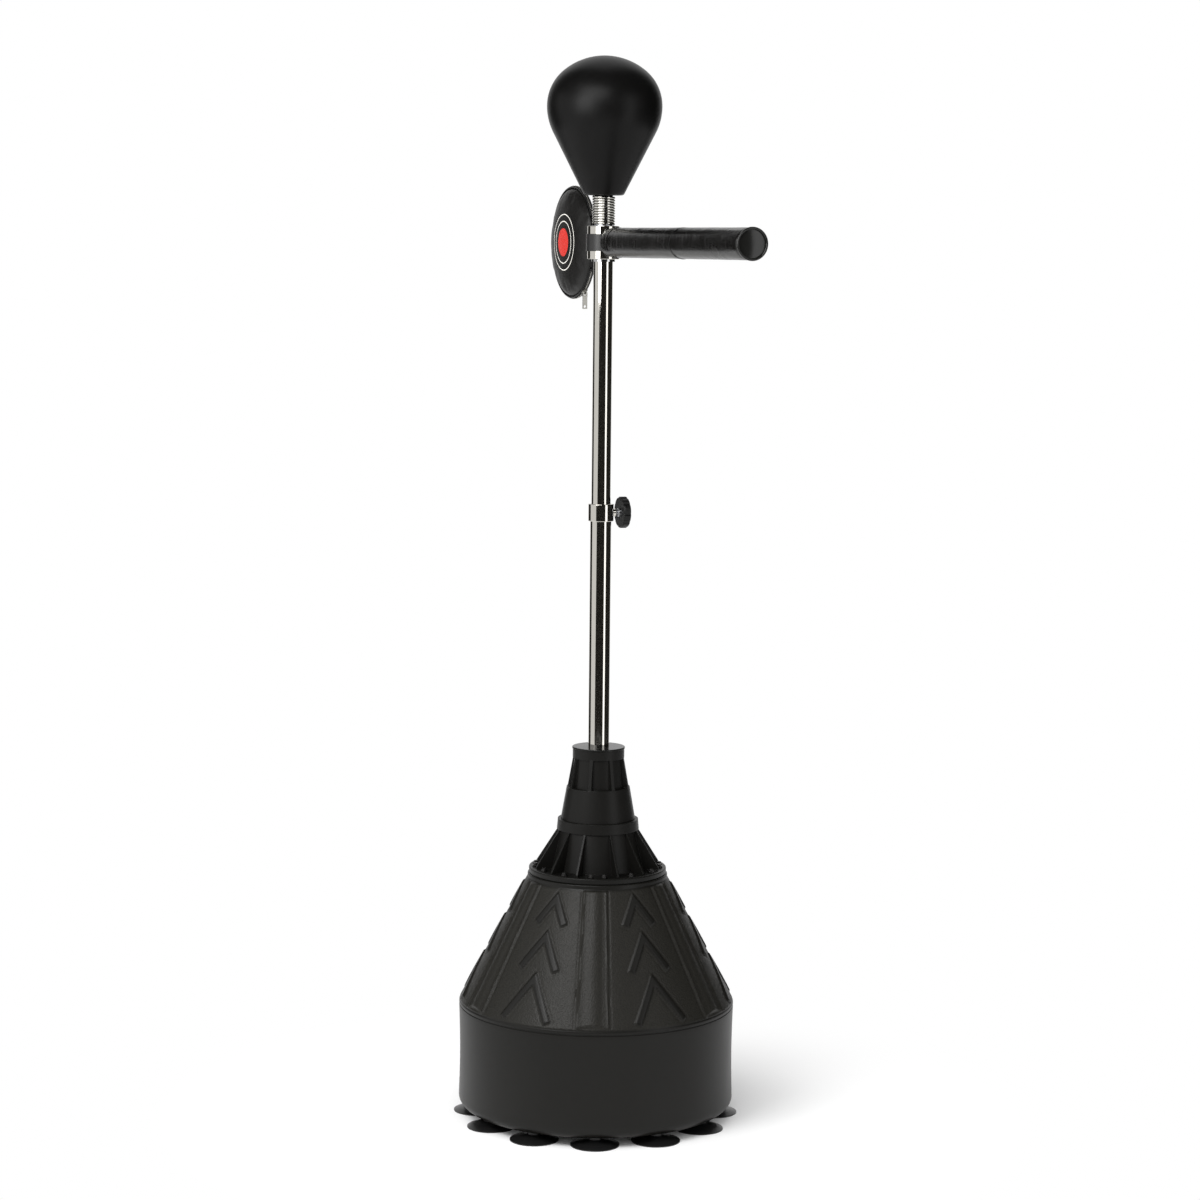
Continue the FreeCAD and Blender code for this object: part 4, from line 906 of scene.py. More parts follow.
class Recipe:
    """A geometry tree with named inputs, run once on a piece and baked into its mesh."""

    def __init__(self, name: str, inputs: dict[str, str]) -> None:
        """Makes the tree's group with its inputs.

        Args:
            name: Name of the tree.
            inputs: Socket type of each input, by name.
        """
        self.tree = bpy.data.node_groups.new(name, "GeometryNodeTree")
        self.tree.interface.new_socket("Geometry", in_out="INPUT", socket_type="NodeSocketGeometry")
        self.tree.interface.new_socket("Geometry", in_out="OUTPUT", socket_type="NodeSocketGeometry")
        for label, kind in inputs.items():
            self.tree.interface.new_socket(label, in_out="INPUT", socket_type=kind)
        self.graph = Graph(self.tree)
        self.inputs = self.graph.add("NodeGroupInput")

    def close(self, geometry: Wire) -> None:
        """Ends the tree: instances are made real, and the material is set.

        Args:
            geometry: What the tree has made.
        """
        real = self.graph.add("GeometryNodeRealizeInstances", {}, {"Geometry": geometry})["Geometry"]
        values = {"Geometry": real, "Material": self.inputs["Material"]}
        done = self.graph.add("GeometryNodeSetMaterial", {}, values)["Geometry"]
        self.graph.add("NodeGroupOutput", {}, {"Geometry": done})

    def run(self, name: str, values: dict[str, object], crease: float = 40.0) -> bpy.types.Object:
        """Makes a piece from the tree.

        Args:
            name: Name of the piece.
            values: Value of each input, by name.
            crease: Angle past which an edge stays sharp.

        Returns:
            The object, with a plain mesh.
        """
        host = bpy.data.objects.new(name, bpy.data.meshes.new(name))
        bpy.context.scene.collection.objects.link(host)
        modifier = host.modifiers.new("recipe", "NODES")
        modifier.node_group = self.tree
        for item in self.tree.interface.items_tree:
            if item.in_out == "INPUT" and item.name in values:
                modifier[item.identifier] = values[item.name]
        bake_modifiers(host)
        host.data.shade_smooth()
        host.data.set_sharp_from_angle(angle=math.radians(crease))
        return host


class RingRecipe(Recipe):
    """Copies of a small template, set evenly round a ring or along an arc of it.

    The template's X looks outwards and its Z lies along the ring's axis.
    """

    def __init__(self) -> None:
        """Builds the tree."""
        kinds = {
            "Template": "NodeSocketObject",
            "Count": "NodeSocketInt",
            "Radius": "NodeSocketFloat",
            "First": "NodeSocketFloat",
            "Step": "NodeSocketFloat",
            "Stagger": "NodeSocketFloat",
            "Roll": "NodeSocketFloat",
            "Seed": "NodeSocketInt",
            "Material": "NodeSocketMaterial",
        }
        super().__init__("ring_of_copies", kinds)
        graph, given = self.graph, self.inputs
        points = graph.add("GeometryNodePoints", {}, {"Count": given["Count"]})["Geometry"]
        number = graph.add("GeometryNodeInputIndex")["Index"]
        angle = given["First"] + number * given["Step"]
        cosine = graph.add("ShaderNodeMath", {"operation": "COSINE"}, {0: angle})["Value"]
        sine = graph.add("ShaderNodeMath", {"operation": "SINE"}, {0: angle})["Value"]
        turn_about = graph.add("ShaderNodeMath", {"operation": "PINGPONG"}, {0: number, 1: 1.0})
        side = turn_about["Value"] * 2.0 - 1.0
        place = graph.add("ShaderNodeCombineXYZ", {}, {
            "X": cosine * given["Radius"],
            "Y": sine * given["Radius"],
            "Z": side * given["Stagger"],
        })["Vector"]
        values = {"Geometry": points, "Position": place}
        set_out = graph.add("GeometryNodeSetPosition", {}, values)["Geometry"]
        spread = graph.add("FunctionNodeRandomValue", {"data_type": "FLOAT"}, {
            "Min_001": given["Roll"] * -1.0,
            "Max_001": given["Roll"],
            "ID": number,
            "Seed": given["Seed"],
        })["Value_001"]
        turn = graph.add("ShaderNodeCombineXYZ", {}, {"X": spread, "Z": angle})["Vector"]
        template = graph.add("GeometryNodeObjectInfo", {}, {"Object": given["Template"]})["Geometry"]
        copies = graph.add("GeometryNodeInstanceOnPoints", {}, {
            "Points": set_out,
            "Instance": template,
            "Rotation": turn,
        })["Instances"]
        self.close(copies)


class CoilRecipe(Recipe):
    """A close coil of round wire that climbs from a start height."""

    def __init__(self) -> None:
        """Builds the tree."""
        kinds = {
            "Radius": "NodeSocketFloat",
            "Wire": "NodeSocketFloat",
            "Turns": "NodeSocketFloat",
            "Height": "NodeSocketFloat",
            "Foot": "NodeSocketFloat",
            "Turned": "NodeSocketFloat",
            "Steps": "NodeSocketInt",
            "Material": "NodeSocketMaterial",
        }
        super().__init__("coil_of_wire", kinds)
        graph, given = self.graph, self.inputs
        spiral = graph.add("GeometryNodeCurveSpiral", {}, {
            "Resolution": given["Steps"],
            "Rotations": given["Turns"],
            "Start Radius": given["Radius"],
            "End Radius": given["Radius"],
            "Height": given["Height"],
        })["Curve"]
        lift = graph.add("ShaderNodeCombineXYZ", {}, {"Z": given["Foot"]})["Vector"]
        turn = graph.add("ShaderNodeCombineXYZ", {}, {"Z": given["Turned"]})["Vector"]
        placed = graph.add("GeometryNodeTransform", {}, {
            "Geometry": spiral,
            "Translation": lift,
            "Rotation": turn,
        })["Geometry"]
        values = {"Resolution": 14, "Radius": given["Wire"]}
        section = graph.add("GeometryNodeCurvePrimitiveCircle", {}, values)
        wire = graph.add("GeometryNodeCurveToMesh", {}, {
            "Curve": placed,
            "Profile Curve": section["Curve"],
            "Fill Caps": True,
        })["Mesh"]
        self.close(wire)


def seat_piece(piece: bpy.types.Object, seat: Seat) -> bpy.types.Object:
    """Moves a piece's mesh from round the origin to its seat.

    Args:
        piece: The piece.
        seat: Its seat.

    Returns:
        The piece.
    """
    piece.data.transform(seat.matrix())
    piece.data.update()
    return piece


def rounded_block(name: str, size: Vector, bevel: float) -> bpy.types.Object:
    """A small block with chamfered edges, centred on the origin, for use as a template.

    Args:
        name: Name of the template.
        size: Its length along each axis.
        bevel: Width of the chamfer.

    Returns:
        The object.
    """
    half = size / 2
    points = []
    for axis in range(3):
        inset = [half[k] - (0.0 if k == axis else bevel) for k in range(3)]
        for signs in product((-1, 1), repeat=3):
            points.append([sign * length for sign, length in zip(signs, inset)])
    mesh = bpy.data.meshes.new(name)
    shell = bmesh.new()
    for point in points:
        shell.verts.new(point)
    bmesh.ops.convex_hull(shell, input=shell.verts[:])
    bmesh.ops.recalc_face_normals(shell, faces=shell.faces[:])
    shell.to_mesh(mesh)
    shell.free()
    return link_piece(name, mesh, 25.0)


def drop(template: bpy.types.Object) -> None:
    """Removes a template and its mesh.

    Args:
        template: The object.
    """
    mesh = template.data
    bpy.data.objects.remove(template)
    bpy.data.meshes.remove(mesh)


# ---------------------------------------------------------------- where the frame puts things


def joint(name: str) -> dict:
    """A joint of the record."""
    return next(j for j in frame["joints"] if j["name"] == name)


def middle(node: str) -> Vector:
    """Middle of a node's box."""
    low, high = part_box(node)
    return (low + high) / 2


def reach(node: str, origin: Vector, direction: Vector) -> tuple[float, float]:
    """How far a node reaches along a direction from an origin, at its nearest and furthest.

    Args:
        node: Name of the node.
        origin: Point to measure from.
        direction: Unit vector to measure along.

    Returns:
        The nearest and the furthest distance.
    """
    along = (points_of(frame["nodes"][node].data) - np.array(origin)) @ np.array(direction)
    return float(along.min()), float(along.max())


HUB_AXIS_POINT = Vector(joint("hub_spin")["pos_m"])
BAR_WAY = (middle("bar_end_cap") - HUB_AXIS_POINT).normalized()
CROSS_WAY = UP.cross(BAR_WAY)
PRINT_WAY = -CROSS_WAY


# ---------------------------------------------------------------- the stand


@dataclass
class Tank:
    """The blown base tank: a drum, and a cone with six crowned strips and three chevrons to a panel.

    Attributes:
        columns: Steps round the axis.
        cone_rows: Rows of points on the cone.
        wall_rows: Rows of points on the drum's wall.
        waist: How far the wall draws in at its middle.
        groove_steps: Drops below the shoulder, with the share of the groove's depth at each.
        shoulder_steps: Rises over the shoulder, with how far the edge draws in at each.
        first_strip: Bearing of a strip, from the front towards +X.
        strip_foot: Half width of a strip at the shoulder.
        strip_head: Half width of a strip at the mouth.
        edge: How far a strip's edge slopes inside and outside its line.
        lip: How far the bead lies inside the line, and the gutter outside it.
        bead: Height and width of the bead along the edge.
        gutter: Depth and width of the gutter beside it.
        crown_half: Half width of the crown at the shoulder.
        crown_narrowing: Share of its width that the crown loses up to the mouth.
        crown_fullness: Power that makes the crown's section fuller below 1.
        arch: Where a strip's rounded foot starts, how much higher its middle is, and its slope.
        chevrons: Height of each chevron's apex and feet over the shoulder.
        spread: Angle from a panel's middle line to a chevron's foot.
        arm: Width of a chevron's arm.
        chevron_edge: How far an arm's edge slopes outside and inside its line.
        chevron_gutter: Depth, distance and width of the gutter round an arm.
        boss: Radius of the flat that the filler cap stands on.
        boss_edge: How far the flat's edge slopes inside and outside its line.
    """

    columns: int = 576
    cone_rows: int = 118
    wall_rows: int = 24
    wall_stop: float = 9 * MM
    bottom_rings: tuple[float, ...] = (90 * MM, 170 * MM)
    lid_ring: float = 95 * MM
    foot_round: float = 16 * MM
    waist: float = 1.5 * MM
    shoulder: float = 195 * MM
    cone_top: float = 404 * MM
    mouth: float = 117 * MM
    groove: float = 1.3 * MM
    groove_steps: tuple[tuple[float, float], ...] = (
        (7.6 * MM, 0.1),
        (7.0 * MM, 1.0),
        (6.2 * MM, 1.0),
        (5.4 * MM, 1.0),
        (4.8 * MM, 0.1),
        (3.4 * MM, 0.0),
    )
    shoulder_steps: tuple[tuple[float, float], ...] = (
        (-2.0 * MM, 0.0),
        (-1.0 * MM, 0.15 * MM),
        (0.0, 0.55 * MM),
        (1.0 * MM, 1.1 * MM),
    )
    first_strip: float = math.radians(-1.5)
    sector: float = math.radians(60.0)
    strip_foot: float = 27.5 * MM
    strip_head: float = 19.5 * MM
    strip_rise: float = 1.3 * MM
    edge: tuple[float, float] = (1.2 * MM, 0.9 * MM)
    lip: float = 2.4 * MM
    bead: tuple[float, float] = (1.0 * MM, 1.2 * MM)
    gutter: tuple[float, float] = (0.9 * MM, 1.3 * MM)
    crown: float = 2.0 * MM
    crown_half: float = 14 * MM
    crown_narrowing: float = 0.25
    crown_fullness: float = 0.8
    arch: tuple[float, float, float] = (1.5 * MM, 5 * MM, 2.5 * MM)
    chevrons: tuple[tuple[float, float], ...] = (
        (202 * MM, 155.5 * MM),
        (145 * MM, 87 * MM),
        (81.5 * MM, 10.5 * MM),
    )
    spread: float = math.radians(12.3)
    arm: float = 12 * MM
    chevron_rise: float = 2.3 * MM
    chevron_edge: tuple[float, float] = (0.9 * MM, 1.5 * MM)
    chevron_gutter: tuple[float, float, float] = (0.7 * MM, 2.2 * MM, 1.2 * MM)
    boss: float = 29 * MM
    boss_edge: tuple[float, float] = (0.8 * MM, 1.4 * MM)
    boss_rise: float = 7 * MM

    def __post_init__(self) -> None:
        """Takes the tank's reach from the frame."""
        low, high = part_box("base_tank")
        self.radius = high.x
        self.foot = low.z
        self.top = high.z
        self.slope = (self.radius - self.mouth) / (self.cone_top - self.shoulder)

    def outline(self) -> tuple[np.ndarray, np.ndarray]:
        """The rows of points, from the middle of the bottom to the middle of the mouth.

        Returns:
            Radii and heights of the rows.
        """
        rows = [(radius, self.foot) for radius in (0.0, *self.bottom_rings)]
        rows += arc((self.radius - self.foot_round, self.foot + self.foot_round), self.foot_round, -90, 0, 8)
        low = self.foot + self.foot_round
        high = self.shoulder - self.wall_stop
        for share in np.linspace(0.04, 1.0, self.wall_rows):
            inward = self.waist * math.sin(math.pi * share)
            rows.append((self.radius - inward, low + (high - low) * share))
        for drop_by, depth in self.groove_steps:
            rows.append((self.radius - depth * self.groove, self.shoulder - drop_by))
        for rise, inward in self.shoulder_steps:
            rows.append((self.radius - inward, self.shoulder + rise))
        for height in np.linspace(self.shoulder + 2 * MM, self.cone_top - 1 * MM, self.cone_rows):
            rows.append((self.radius - (height - self.shoulder) * self.slope, height))
        rows += [(self.mouth - 0.1 * MM, self.cone_top), (self.mouth - 0.3 * MM, self.cone_top + 1 * MM)]
        rows += arc((self.mouth - 2.3 * MM, self.top - 2 * MM), 2 * MM, 0, 90, 4)
        rows += [(self.lid_ring, self.top), (0.0, self.top)]
        table = np.array(rows)
        return table[:, 0], table[:, 1]

    def relief(self, bearing: np.ndarray, radius: np.ndarray,
               height: np.ndarray) -> tuple[np.ndarray, np.ndarray]:
        """How far the cone stands out, and where it is grained and lightened by a painted sheen.

        Args:
            bearing: Angle from the front towards +X.
            radius: Distance from the axis.
            height: Height over the floor.

        Returns:
            The rise, and the share of grain and of painted sheen.
        """
        on_cone = smoothstep(height, self.shoulder + 1 * MM, self.shoulder + 3 * MM)
        on_cone *= 1.0 - smoothstep(height, self.cone_top - 4 * MM, self.cone_top - 1 * MM)
        share = np.clip((height - self.shoulder) / (self.cone_top - self.shoulder), 0.0, 1.0)
        turn = np.mod(bearing - self.first_strip + self.sector / 2, self.sector) - self.sector / 2
        across = np.abs(radius * turn)
        half = self.strip_foot + (self.strip_head - self.strip_foot) * share
        rise = self.strip_rise * (1.0 - smoothstep(across, half - self.edge[0], half + self.edge[1]))
        rise += self.bead[0] * hump(across, half - self.lip, self.bead[1])
        rise -= self.gutter[0] * hump(across, half + self.lip, self.gutter[1])
        crown_half = self.crown_half * (1.0 - self.crown_narrowing * share)
        section = np.cos(np.clip(across / crown_half, 0.0, 1.0) * math.pi / 2)
        rise += self.crown * section ** self.crown_fullness
        start, bow, slope = self.arch
        foot = self.shoulder + start + bow * np.clip(1.0 - (across / half) ** 2, 0.0, 1.0)
        rise *= smoothstep(height, foot, foot + slope)
        panel = np.mod(bearing - self.first_strip, self.sector) - self.sector / 2
        raised, worked = self.chevron_relief(np.abs(radius * panel), height)
        rise += raised
        return rise * on_cone, on_cone * (1.0 - worked)

    def chevron_relief(self, across: np.ndarray, height: np.ndarray) -> tuple[np.ndarray, np.ndarray]:
        """How far the panel's chevrons stand out, and where they are.

        Args:
            across: Distance to the panel's middle line.
            height: Height over the floor.

        Returns:
            The rise, and the chevrons' share.
        """
        depth, distance, width = self.chevron_gutter
        outside, inside_by = self.chevron_edge
        slant = math.hypot(1.0, self.slope)
        total = np.zeros_like(height)
        mask = np.zeros_like(height)
        for apex, feet in self.chevrons:
            foot_radius = self.radius - feet * self.slope
            out = foot_radius * self.spread
            down = (apex - feet) * slant
            length = math.hypot(out, down)
            fall = (self.shoulder + apex - height) * slant
            along = (across * out + fall * down) / length
            inside = (fall * out - across * down) / length
            edge = np.minimum(np.minimum(inside, self.arm - inside), length - along)
            total += self.chevron_rise * smoothstep(edge, -outside, inside_by)
            total -= depth * hump(edge, -distance, width)
            mask = np.maximum(mask, smoothstep(edge, -1.0 * MM, 1.0 * MM))
        return total, mask

    def surface(self, radii: np.ndarray, heights: np.ndarray) -> tuple[np.ndarray, np.ndarray]:
        """Turns the rows into a surface with its relief and its filler boss.

        Args:
            radii: Radius of each row.
            heights: Height of each row.

        Returns:
            The points by row and column, and the share of grain and of painted sheen at each.
        """
        bearing = np.linspace(0.0, math.tau, self.columns, endpoint=False)
        bearings, radius = np.meshgrid(bearing, radii)
        height = np.meshgrid(bearing, heights)[1]
        rise, grain = self.relief(bearings, radius, height)
        lean = math.atan(self.slope)
        points = np.stack([radius * np.sin(bearings), -radius * np.cos(bearings), height], axis=-1)
        normal = np.stack([
            np.sin(bearings) * math.cos(lean),
            -np.cos(bearings) * math.cos(lean),
            np.full_like(bearings, math.sin(lean)),
        ], axis=-1)
        filler = joint("cap_turn")
        away = points - np.array(filler["pos_m"])
        axis = np.array(filler["axis"])
        out = np.linalg.norm(away - (away @ axis)[..., None] * axis, axis=-1)
        behind = points[..., 1] > 0
        within, beyond = self.boss_edge
        on_boss = (1.0 - smoothstep(out, self.boss - within, self.boss + beyond)) * behind
        rise = rise * (1.0 - on_boss) + self.boss_rise * on_boss
        return points + normal * rise[..., None], grain * (1.0 - on_boss)

    def build(self) -> bpy.types.Object:
        """Builds the shell: the surface, closed by a fan at the bottom and one at the mouth.

        Returns:
            The shell.
        """
        radii, heights = self.outline()
        points, grain = self.surface(radii[1:-1], heights[1:-1])
        rows, count = grain.shape
        flat = points.reshape(-1, 3)
        corner = np.arange(rows * count).reshape(rows, count)
        after = np.roll(corner, -1, axis=1)
        quads = np.stack([corner[:-1], after[:-1], after[1:], corner[1:]], axis=-1).reshape(-1, 4)
        ends = np.array([[0.0, 0.0, heights[0]], [0.0, 0.0, heights[-1]]])
        bottom, top = len(flat), len(flat) + 1
        faces = [tuple(q) for q in quads]
        faces += [(bottom, after[0, k], corner[0, k]) for k in range(count)]
        faces += [(top, corner[-1, k], after[-1, k]) for k in range(count)]
        shell = new_piece("tank_shell", np.vstack([flat, ends]), faces, 50.0)
        # The "grain" attribute says where the cone is grained; the material also lightens the colour there as
        # a painted sheen.
        layer = shell.data.attributes.new("grain", "FLOAT", "POINT")
        layer.data.foreach_set("value", np.append(grain.ravel(), [0.0, 0.0]))
        return dress(shell, Finishes.TANK, "stand", "base_tank")


@dataclass
class FlangeScrews:
    """The screws that hold the neck's flange down: round washer heads, made by one recipe.

    Attributes:
        head: Radius of the head.
        washer: Radius of the washer under it.
        seat_share: Percentile of the frame's screw points that lies at the seat.
        parting: Least angle between two screws.
    """

    head: float = 3.6 * MM
    height: float = 4.2 * MM
    washer: float = 5.4 * MM
    seat_share: float = 60.0
    parting: float = math.radians(3.0)

    def template(self) -> bpy.types.Object:
        """One screw head, standing on the origin.

        Returns:
            The template.
        """
        shape = [(0.0, -1.5 * MM), (self.washer, -1.5 * MM), (self.washer, 0.6 * MM)]
        shape += [(self.washer - 0.5 * MM, 1.2 * MM), (self.head, 1.5 * MM)]
        shape += [(self.head, self.height - 0.7 * MM), (self.head - 0.7 * MM, self.height)]
        shape += [(1.6 * MM, self.height), (1.2 * MM, self.height - 1.2 * MM), (0.0, self.height - 1.2 * MM)]
        return turned("screw_template", shape, 12, Seat(Vector(), UP, Vector((1, 0, 0))), 30.0)

    def build(self, rings: RingRecipe) -> bpy.types.Object:
        """Sets the heads where the frame's screws stand.

        Args:
            rings: The recipe that copies a template.

        Returns:
            The joined heads.
        """
        spots = self.spots()
        template = self.template()
        made = []
        for number, (radius, angle, height) in enumerate(spots):
            values = {"Template": template, "Count": 1, "Radius": radius, "First": angle, "Step": 0.0,
                      "Stagger": 0.0, "Roll": 0.0, "Seed": number, "Material": Finishes.BLACK_ZINC.material}
            head = rings.run("screw_head", values, 30.0)
            made.append(seat_piece(head, Seat(Vector((0, 0, height)), UP, Vector((1, 0, 0)))))
        drop(template)
        joined = join("flange_screw_heads", made)
        return dress(joined, Finishes.BLACK_ZINC, "stand", "flange_screws")

    def spots(self) -> list[tuple[float, float, float]]:
        """Radius, angle and seat height of each screw, from the frame's own screws.

        Returns:
            One entry for each screw.
        """
        points = points_of(frame["nodes"]["flange_screws"].data)
        seat = float(np.percentile(points[:, 2], self.seat_share))
        angle = np.arctan2(points[:, 1], points[:, 0])
        order = np.argsort(angle)
        groups = np.split(order, np.where(np.diff(angle[order]) > self.parting)[0] + 1)
        found = []
        for group in groups:
            across, along = ((points[group].min(axis=0) + points[group].max(axis=0)) / 2)[:2]
            found.append((float(np.hypot(across, along)), float(np.arctan2(along, across)), seat))
        return found


def join(name: str, parts: list[bpy.types.Object]) -> bpy.types.Object:
    """Joins pieces that have no body yet into one mesh.

    Args:
        name: Name of the piece.
        parts: The pieces, which are removed.

    Returns:
        The joined object.
    """
    points: list[np.ndarray] = []
    faces: list[list[int]] = []
    total = 0
    for part in parts:
        found = points_of(part.data)
        points.append(found)
        faces += [[index + total for index in face.vertices] for face in part.data.polygons]
        total += len(found)
        drop(part)
    return new_piece(name, np.vstack(points), faces, 30.0)


NODE_FINISHES: dict[str, Finishes] = {
    "suction_cup": Finishes.RUBBER,
    "cup_studs": Finishes.ZINC,
    "mouth_gasket": Finishes.SEAL,
    "lower_neck": Finishes.NECK,
    "upper_neck": Finishes.NECK,
    "top_disc": Finishes.DISC,
    "pole_socket": Finishes.ZINC,
    "socket_bolts": Finishes.ZINC,
    "socket_nuts": Finishes.ZINC,
    "lower_pole": Finishes.CHROME,
    "height_collar": Finishes.CHROME,
    "filler_seal": Finishes.SEAL,
    "filler_cap": Finishes.CAP,
    "knob_screw": Finishes.ZINC,
    "knob_insert": Finishes.ZINC,
    "knob": Finishes.KNOB,
    "upper_pole": Finishes.CHROME,
    "glide_plug": Finishes.CAP,
    "stop_ring": Finishes.STEEL,
    "stop_ring_screw": Finishes.BLACK_ZINC,
    "bearing_inner_races": Finishes.STEEL,
    "bearing_outer_races": Finishes.STEEL,
    "bearing_balls": Finishes.STEEL,
    "spring_plug": Finishes.ZINC,
    "hub_sleeve": Finishes.CHROME,
    "hub_band": Finishes.BAND,
    "bar_core_tube": Finishes.ZINC,
    "target_paddle": Finishes.BAND,
    "zip_tape": Finishes.TAPE,
    "zip_slider": Finishes.ZIP_METAL,
    "zip_pull": Finishes.ZIP_METAL,
    "ball_insert": Finishes.CAP,
}


def dress_nodes() -> None:
    """Gives every node that stays its finish, by the longest name that it starts with."""
    for name in frame["nodes"]:
        matches = [start for start in NODE_FINISHES if name.startswith(start)]
        if matches:
            dress_node(name, NODE_FINISHES[max(matches, key=len)])


# ---------------------------------------------------------------- bar, target, spring and ball


@dataclass
class StrikeBar:
    """The padded bar: a vinyl sleeve with two sewn seams, and the end cap that closes it.

    Attributes:
        slack: How much smaller the sleeve is made than it swells to.
        shoulder: Radius of the sleeve's rounded end beside the hub.
        seams: Distance of each seam from the hub's axis.
        sewn: Half width of the stretch that a seam holds.
        welt: Radius of the welt along a seam.
        sunk: How deep a welt lies in the sleeve.
        bead: Radius of the cap's rolled rim.
        dome: Height of the cap's domed face.
        rim: How far the cap stands past the sleeve.
        dish: Distance from the cap's edge to its face, and the face's depth.
        gather: Length over which the gathers die out.
    """

    slack: float = 0.5 * MM
    shoulder: float = 6 * MM
    seams: tuple[float, ...] = (70 * MM, 333 * MM)
    sewn: float = 3 * MM
    welt: float = 0.6 * MM
    sunk: float = 0.9 * MM
    bead: float = 1.8 * MM
    dome: float = 2.4 * MM
    rim: float = 5 * MM
    dish: tuple[float, float] = (3.78 * MM, 2.88 * MM)
    gather: float = 22 * MM
    folds_round: float = 2.6
    fold_length: float = 50 * MM
    fold_depth: float = 0.9 * MM
    wave_length: float = 45 * MM
    wave_depth: float = 0.35 * MM
    filling: Filling = field(default_factory=lambda: Filling(voxel=4.5 * MM, pressure=3.0, cap=1.2 * MM))

    def __post_init__(self) -> None:
        """Takes the sleeve's reach from the frame."""
        self.low = reach("bar_cover", HUB_AXIS_POINT, BAR_WAY)[0]
        self.high = reach("bar_end_cap", HUB_AXIS_POINT, BAR_WAY)[1] - self.rim
        self.radius = reach("bar_cover", HUB_AXIS_POINT, UP)[1]
        self.seat = Seat(HUB_AXIS_POINT, BAR_WAY, UP)

    def build(self) -> None:
        """Builds the sleeve and its seams."""
        start = self.radius - self.slack
        shape = [(0.0, self.low), (start - self.shoulder, self.low)]
        shape += arc((start - self.shoulder, self.low + self.shoulder), self.shoulder, -90, 0, 6)[1:]
        shape += [(start, at) for at in np.linspace(self.low + 2 * self.shoulder, self.high - 4 * MM, 60)]
        shape += arc((start - 3 * MM, self.high - 3 * MM), 3 * MM, 0, 90, 4)
        shape.append((0.0, self.high))
        sleeve = turned("bar_sleeve", shape, 48, self.seat)
        self.filling.swell(sleeve, self.is_sewn)
        move_points(sleeve, self.wrinkle)
        dress(sleeve, Finishes.BAR, "hub", "bar_cover", "bar_foam")
        for number, at in enumerate(self.seams, 1):
            ring = arc((self.radius - self.sunk, at), self.welt, -180, 180, 10)
            welt = turned("bar_seam_%d" % number, ring, 72, self.seat, 180.0)
            dress(welt, Finishes.BAR, "hub")
        self.end_cap()

    def end_cap(self) -> None:
        """The end cap: a rolled rim round a dished face with a low dome."""
        low, high = self.high, self.high + self.rim
        edge = reach("bar_end_cap", HUB_AXIS_POINT, UP)[1]
        bead = self.bead
        shape = [(0.0, low), (edge - 1 * MM, low), (edge - 0.3 * MM, low + 0.7 * MM)]
        shape += arc((edge - bead, high - bead), bead, 0, 90, 8)
        shape += arc((edge - bead, high - bead), bead, 100, 160, 4)
        face, depth = edge - self.dish[0], high - self.dish[1]
        for share in (1.0, *np.linspace(0.94, 0.1, 12), 0.0):
            shape.append((face * share, depth + self.dome * (1 - share ** 2)))
        cap = turned("bar_cap", shape, 96, self.seat, 50.0)
        dress(cap, Finishes.GLOSS, "hub", "bar_end_cap")

    def is_sewn(self, point: Vector) -> bool:
        """Whether a point of the sleeve is held by a seam, by the cap or by the arm.

        Args:
            point: The point.

        Returns:
            True where it is held.
        """
        at = (point - HUB_AXIS_POINT).dot(BAR_WAY)
        near_end = at < self.low + self.shoulder or at > self.high - 5 * MM
        return near_end or any(abs(at - seam) < self.sewn for seam in self.seams)

    def wrinkle(self, points: np.ndarray) -> np.ndarray:
        """Gathers that fan out from the seams and slow waves along the sleeve.

        Args:
            points: The sleeve's points.

        Returns:
            The moved points.
        """
        origin, way = np.array(HUB_AXIS_POINT), np.array(BAR_WAY)
        at = (points - origin) @ way
        centre = origin + at[:, None] * way
        out = points - centre
        length = np.maximum(np.linalg.norm(out, axis=1), 1e-6)
        holds = (self.low, *self.seams, self.high)
        near = np.max([np.exp(-np.abs(at - hold) / self.gather) for hold in holds], axis=0)
        moved = np.zeros(len(points))
        for index, point in enumerate(points):
            way_out = Vector(out[index] / length[index] * self.folds_round)
            fold = noise.noise(way_out + UP * (at[index] / self.fold_length))
            wave = noise.noise(Vector(point) / self.wave_length)
            moved[index] = self.fold_depth * near[index] * fold + self.wave_depth * wave
        body = length > self.radius * 0.7
        return points + out / length[:, None] * (moved * body)[:, None]


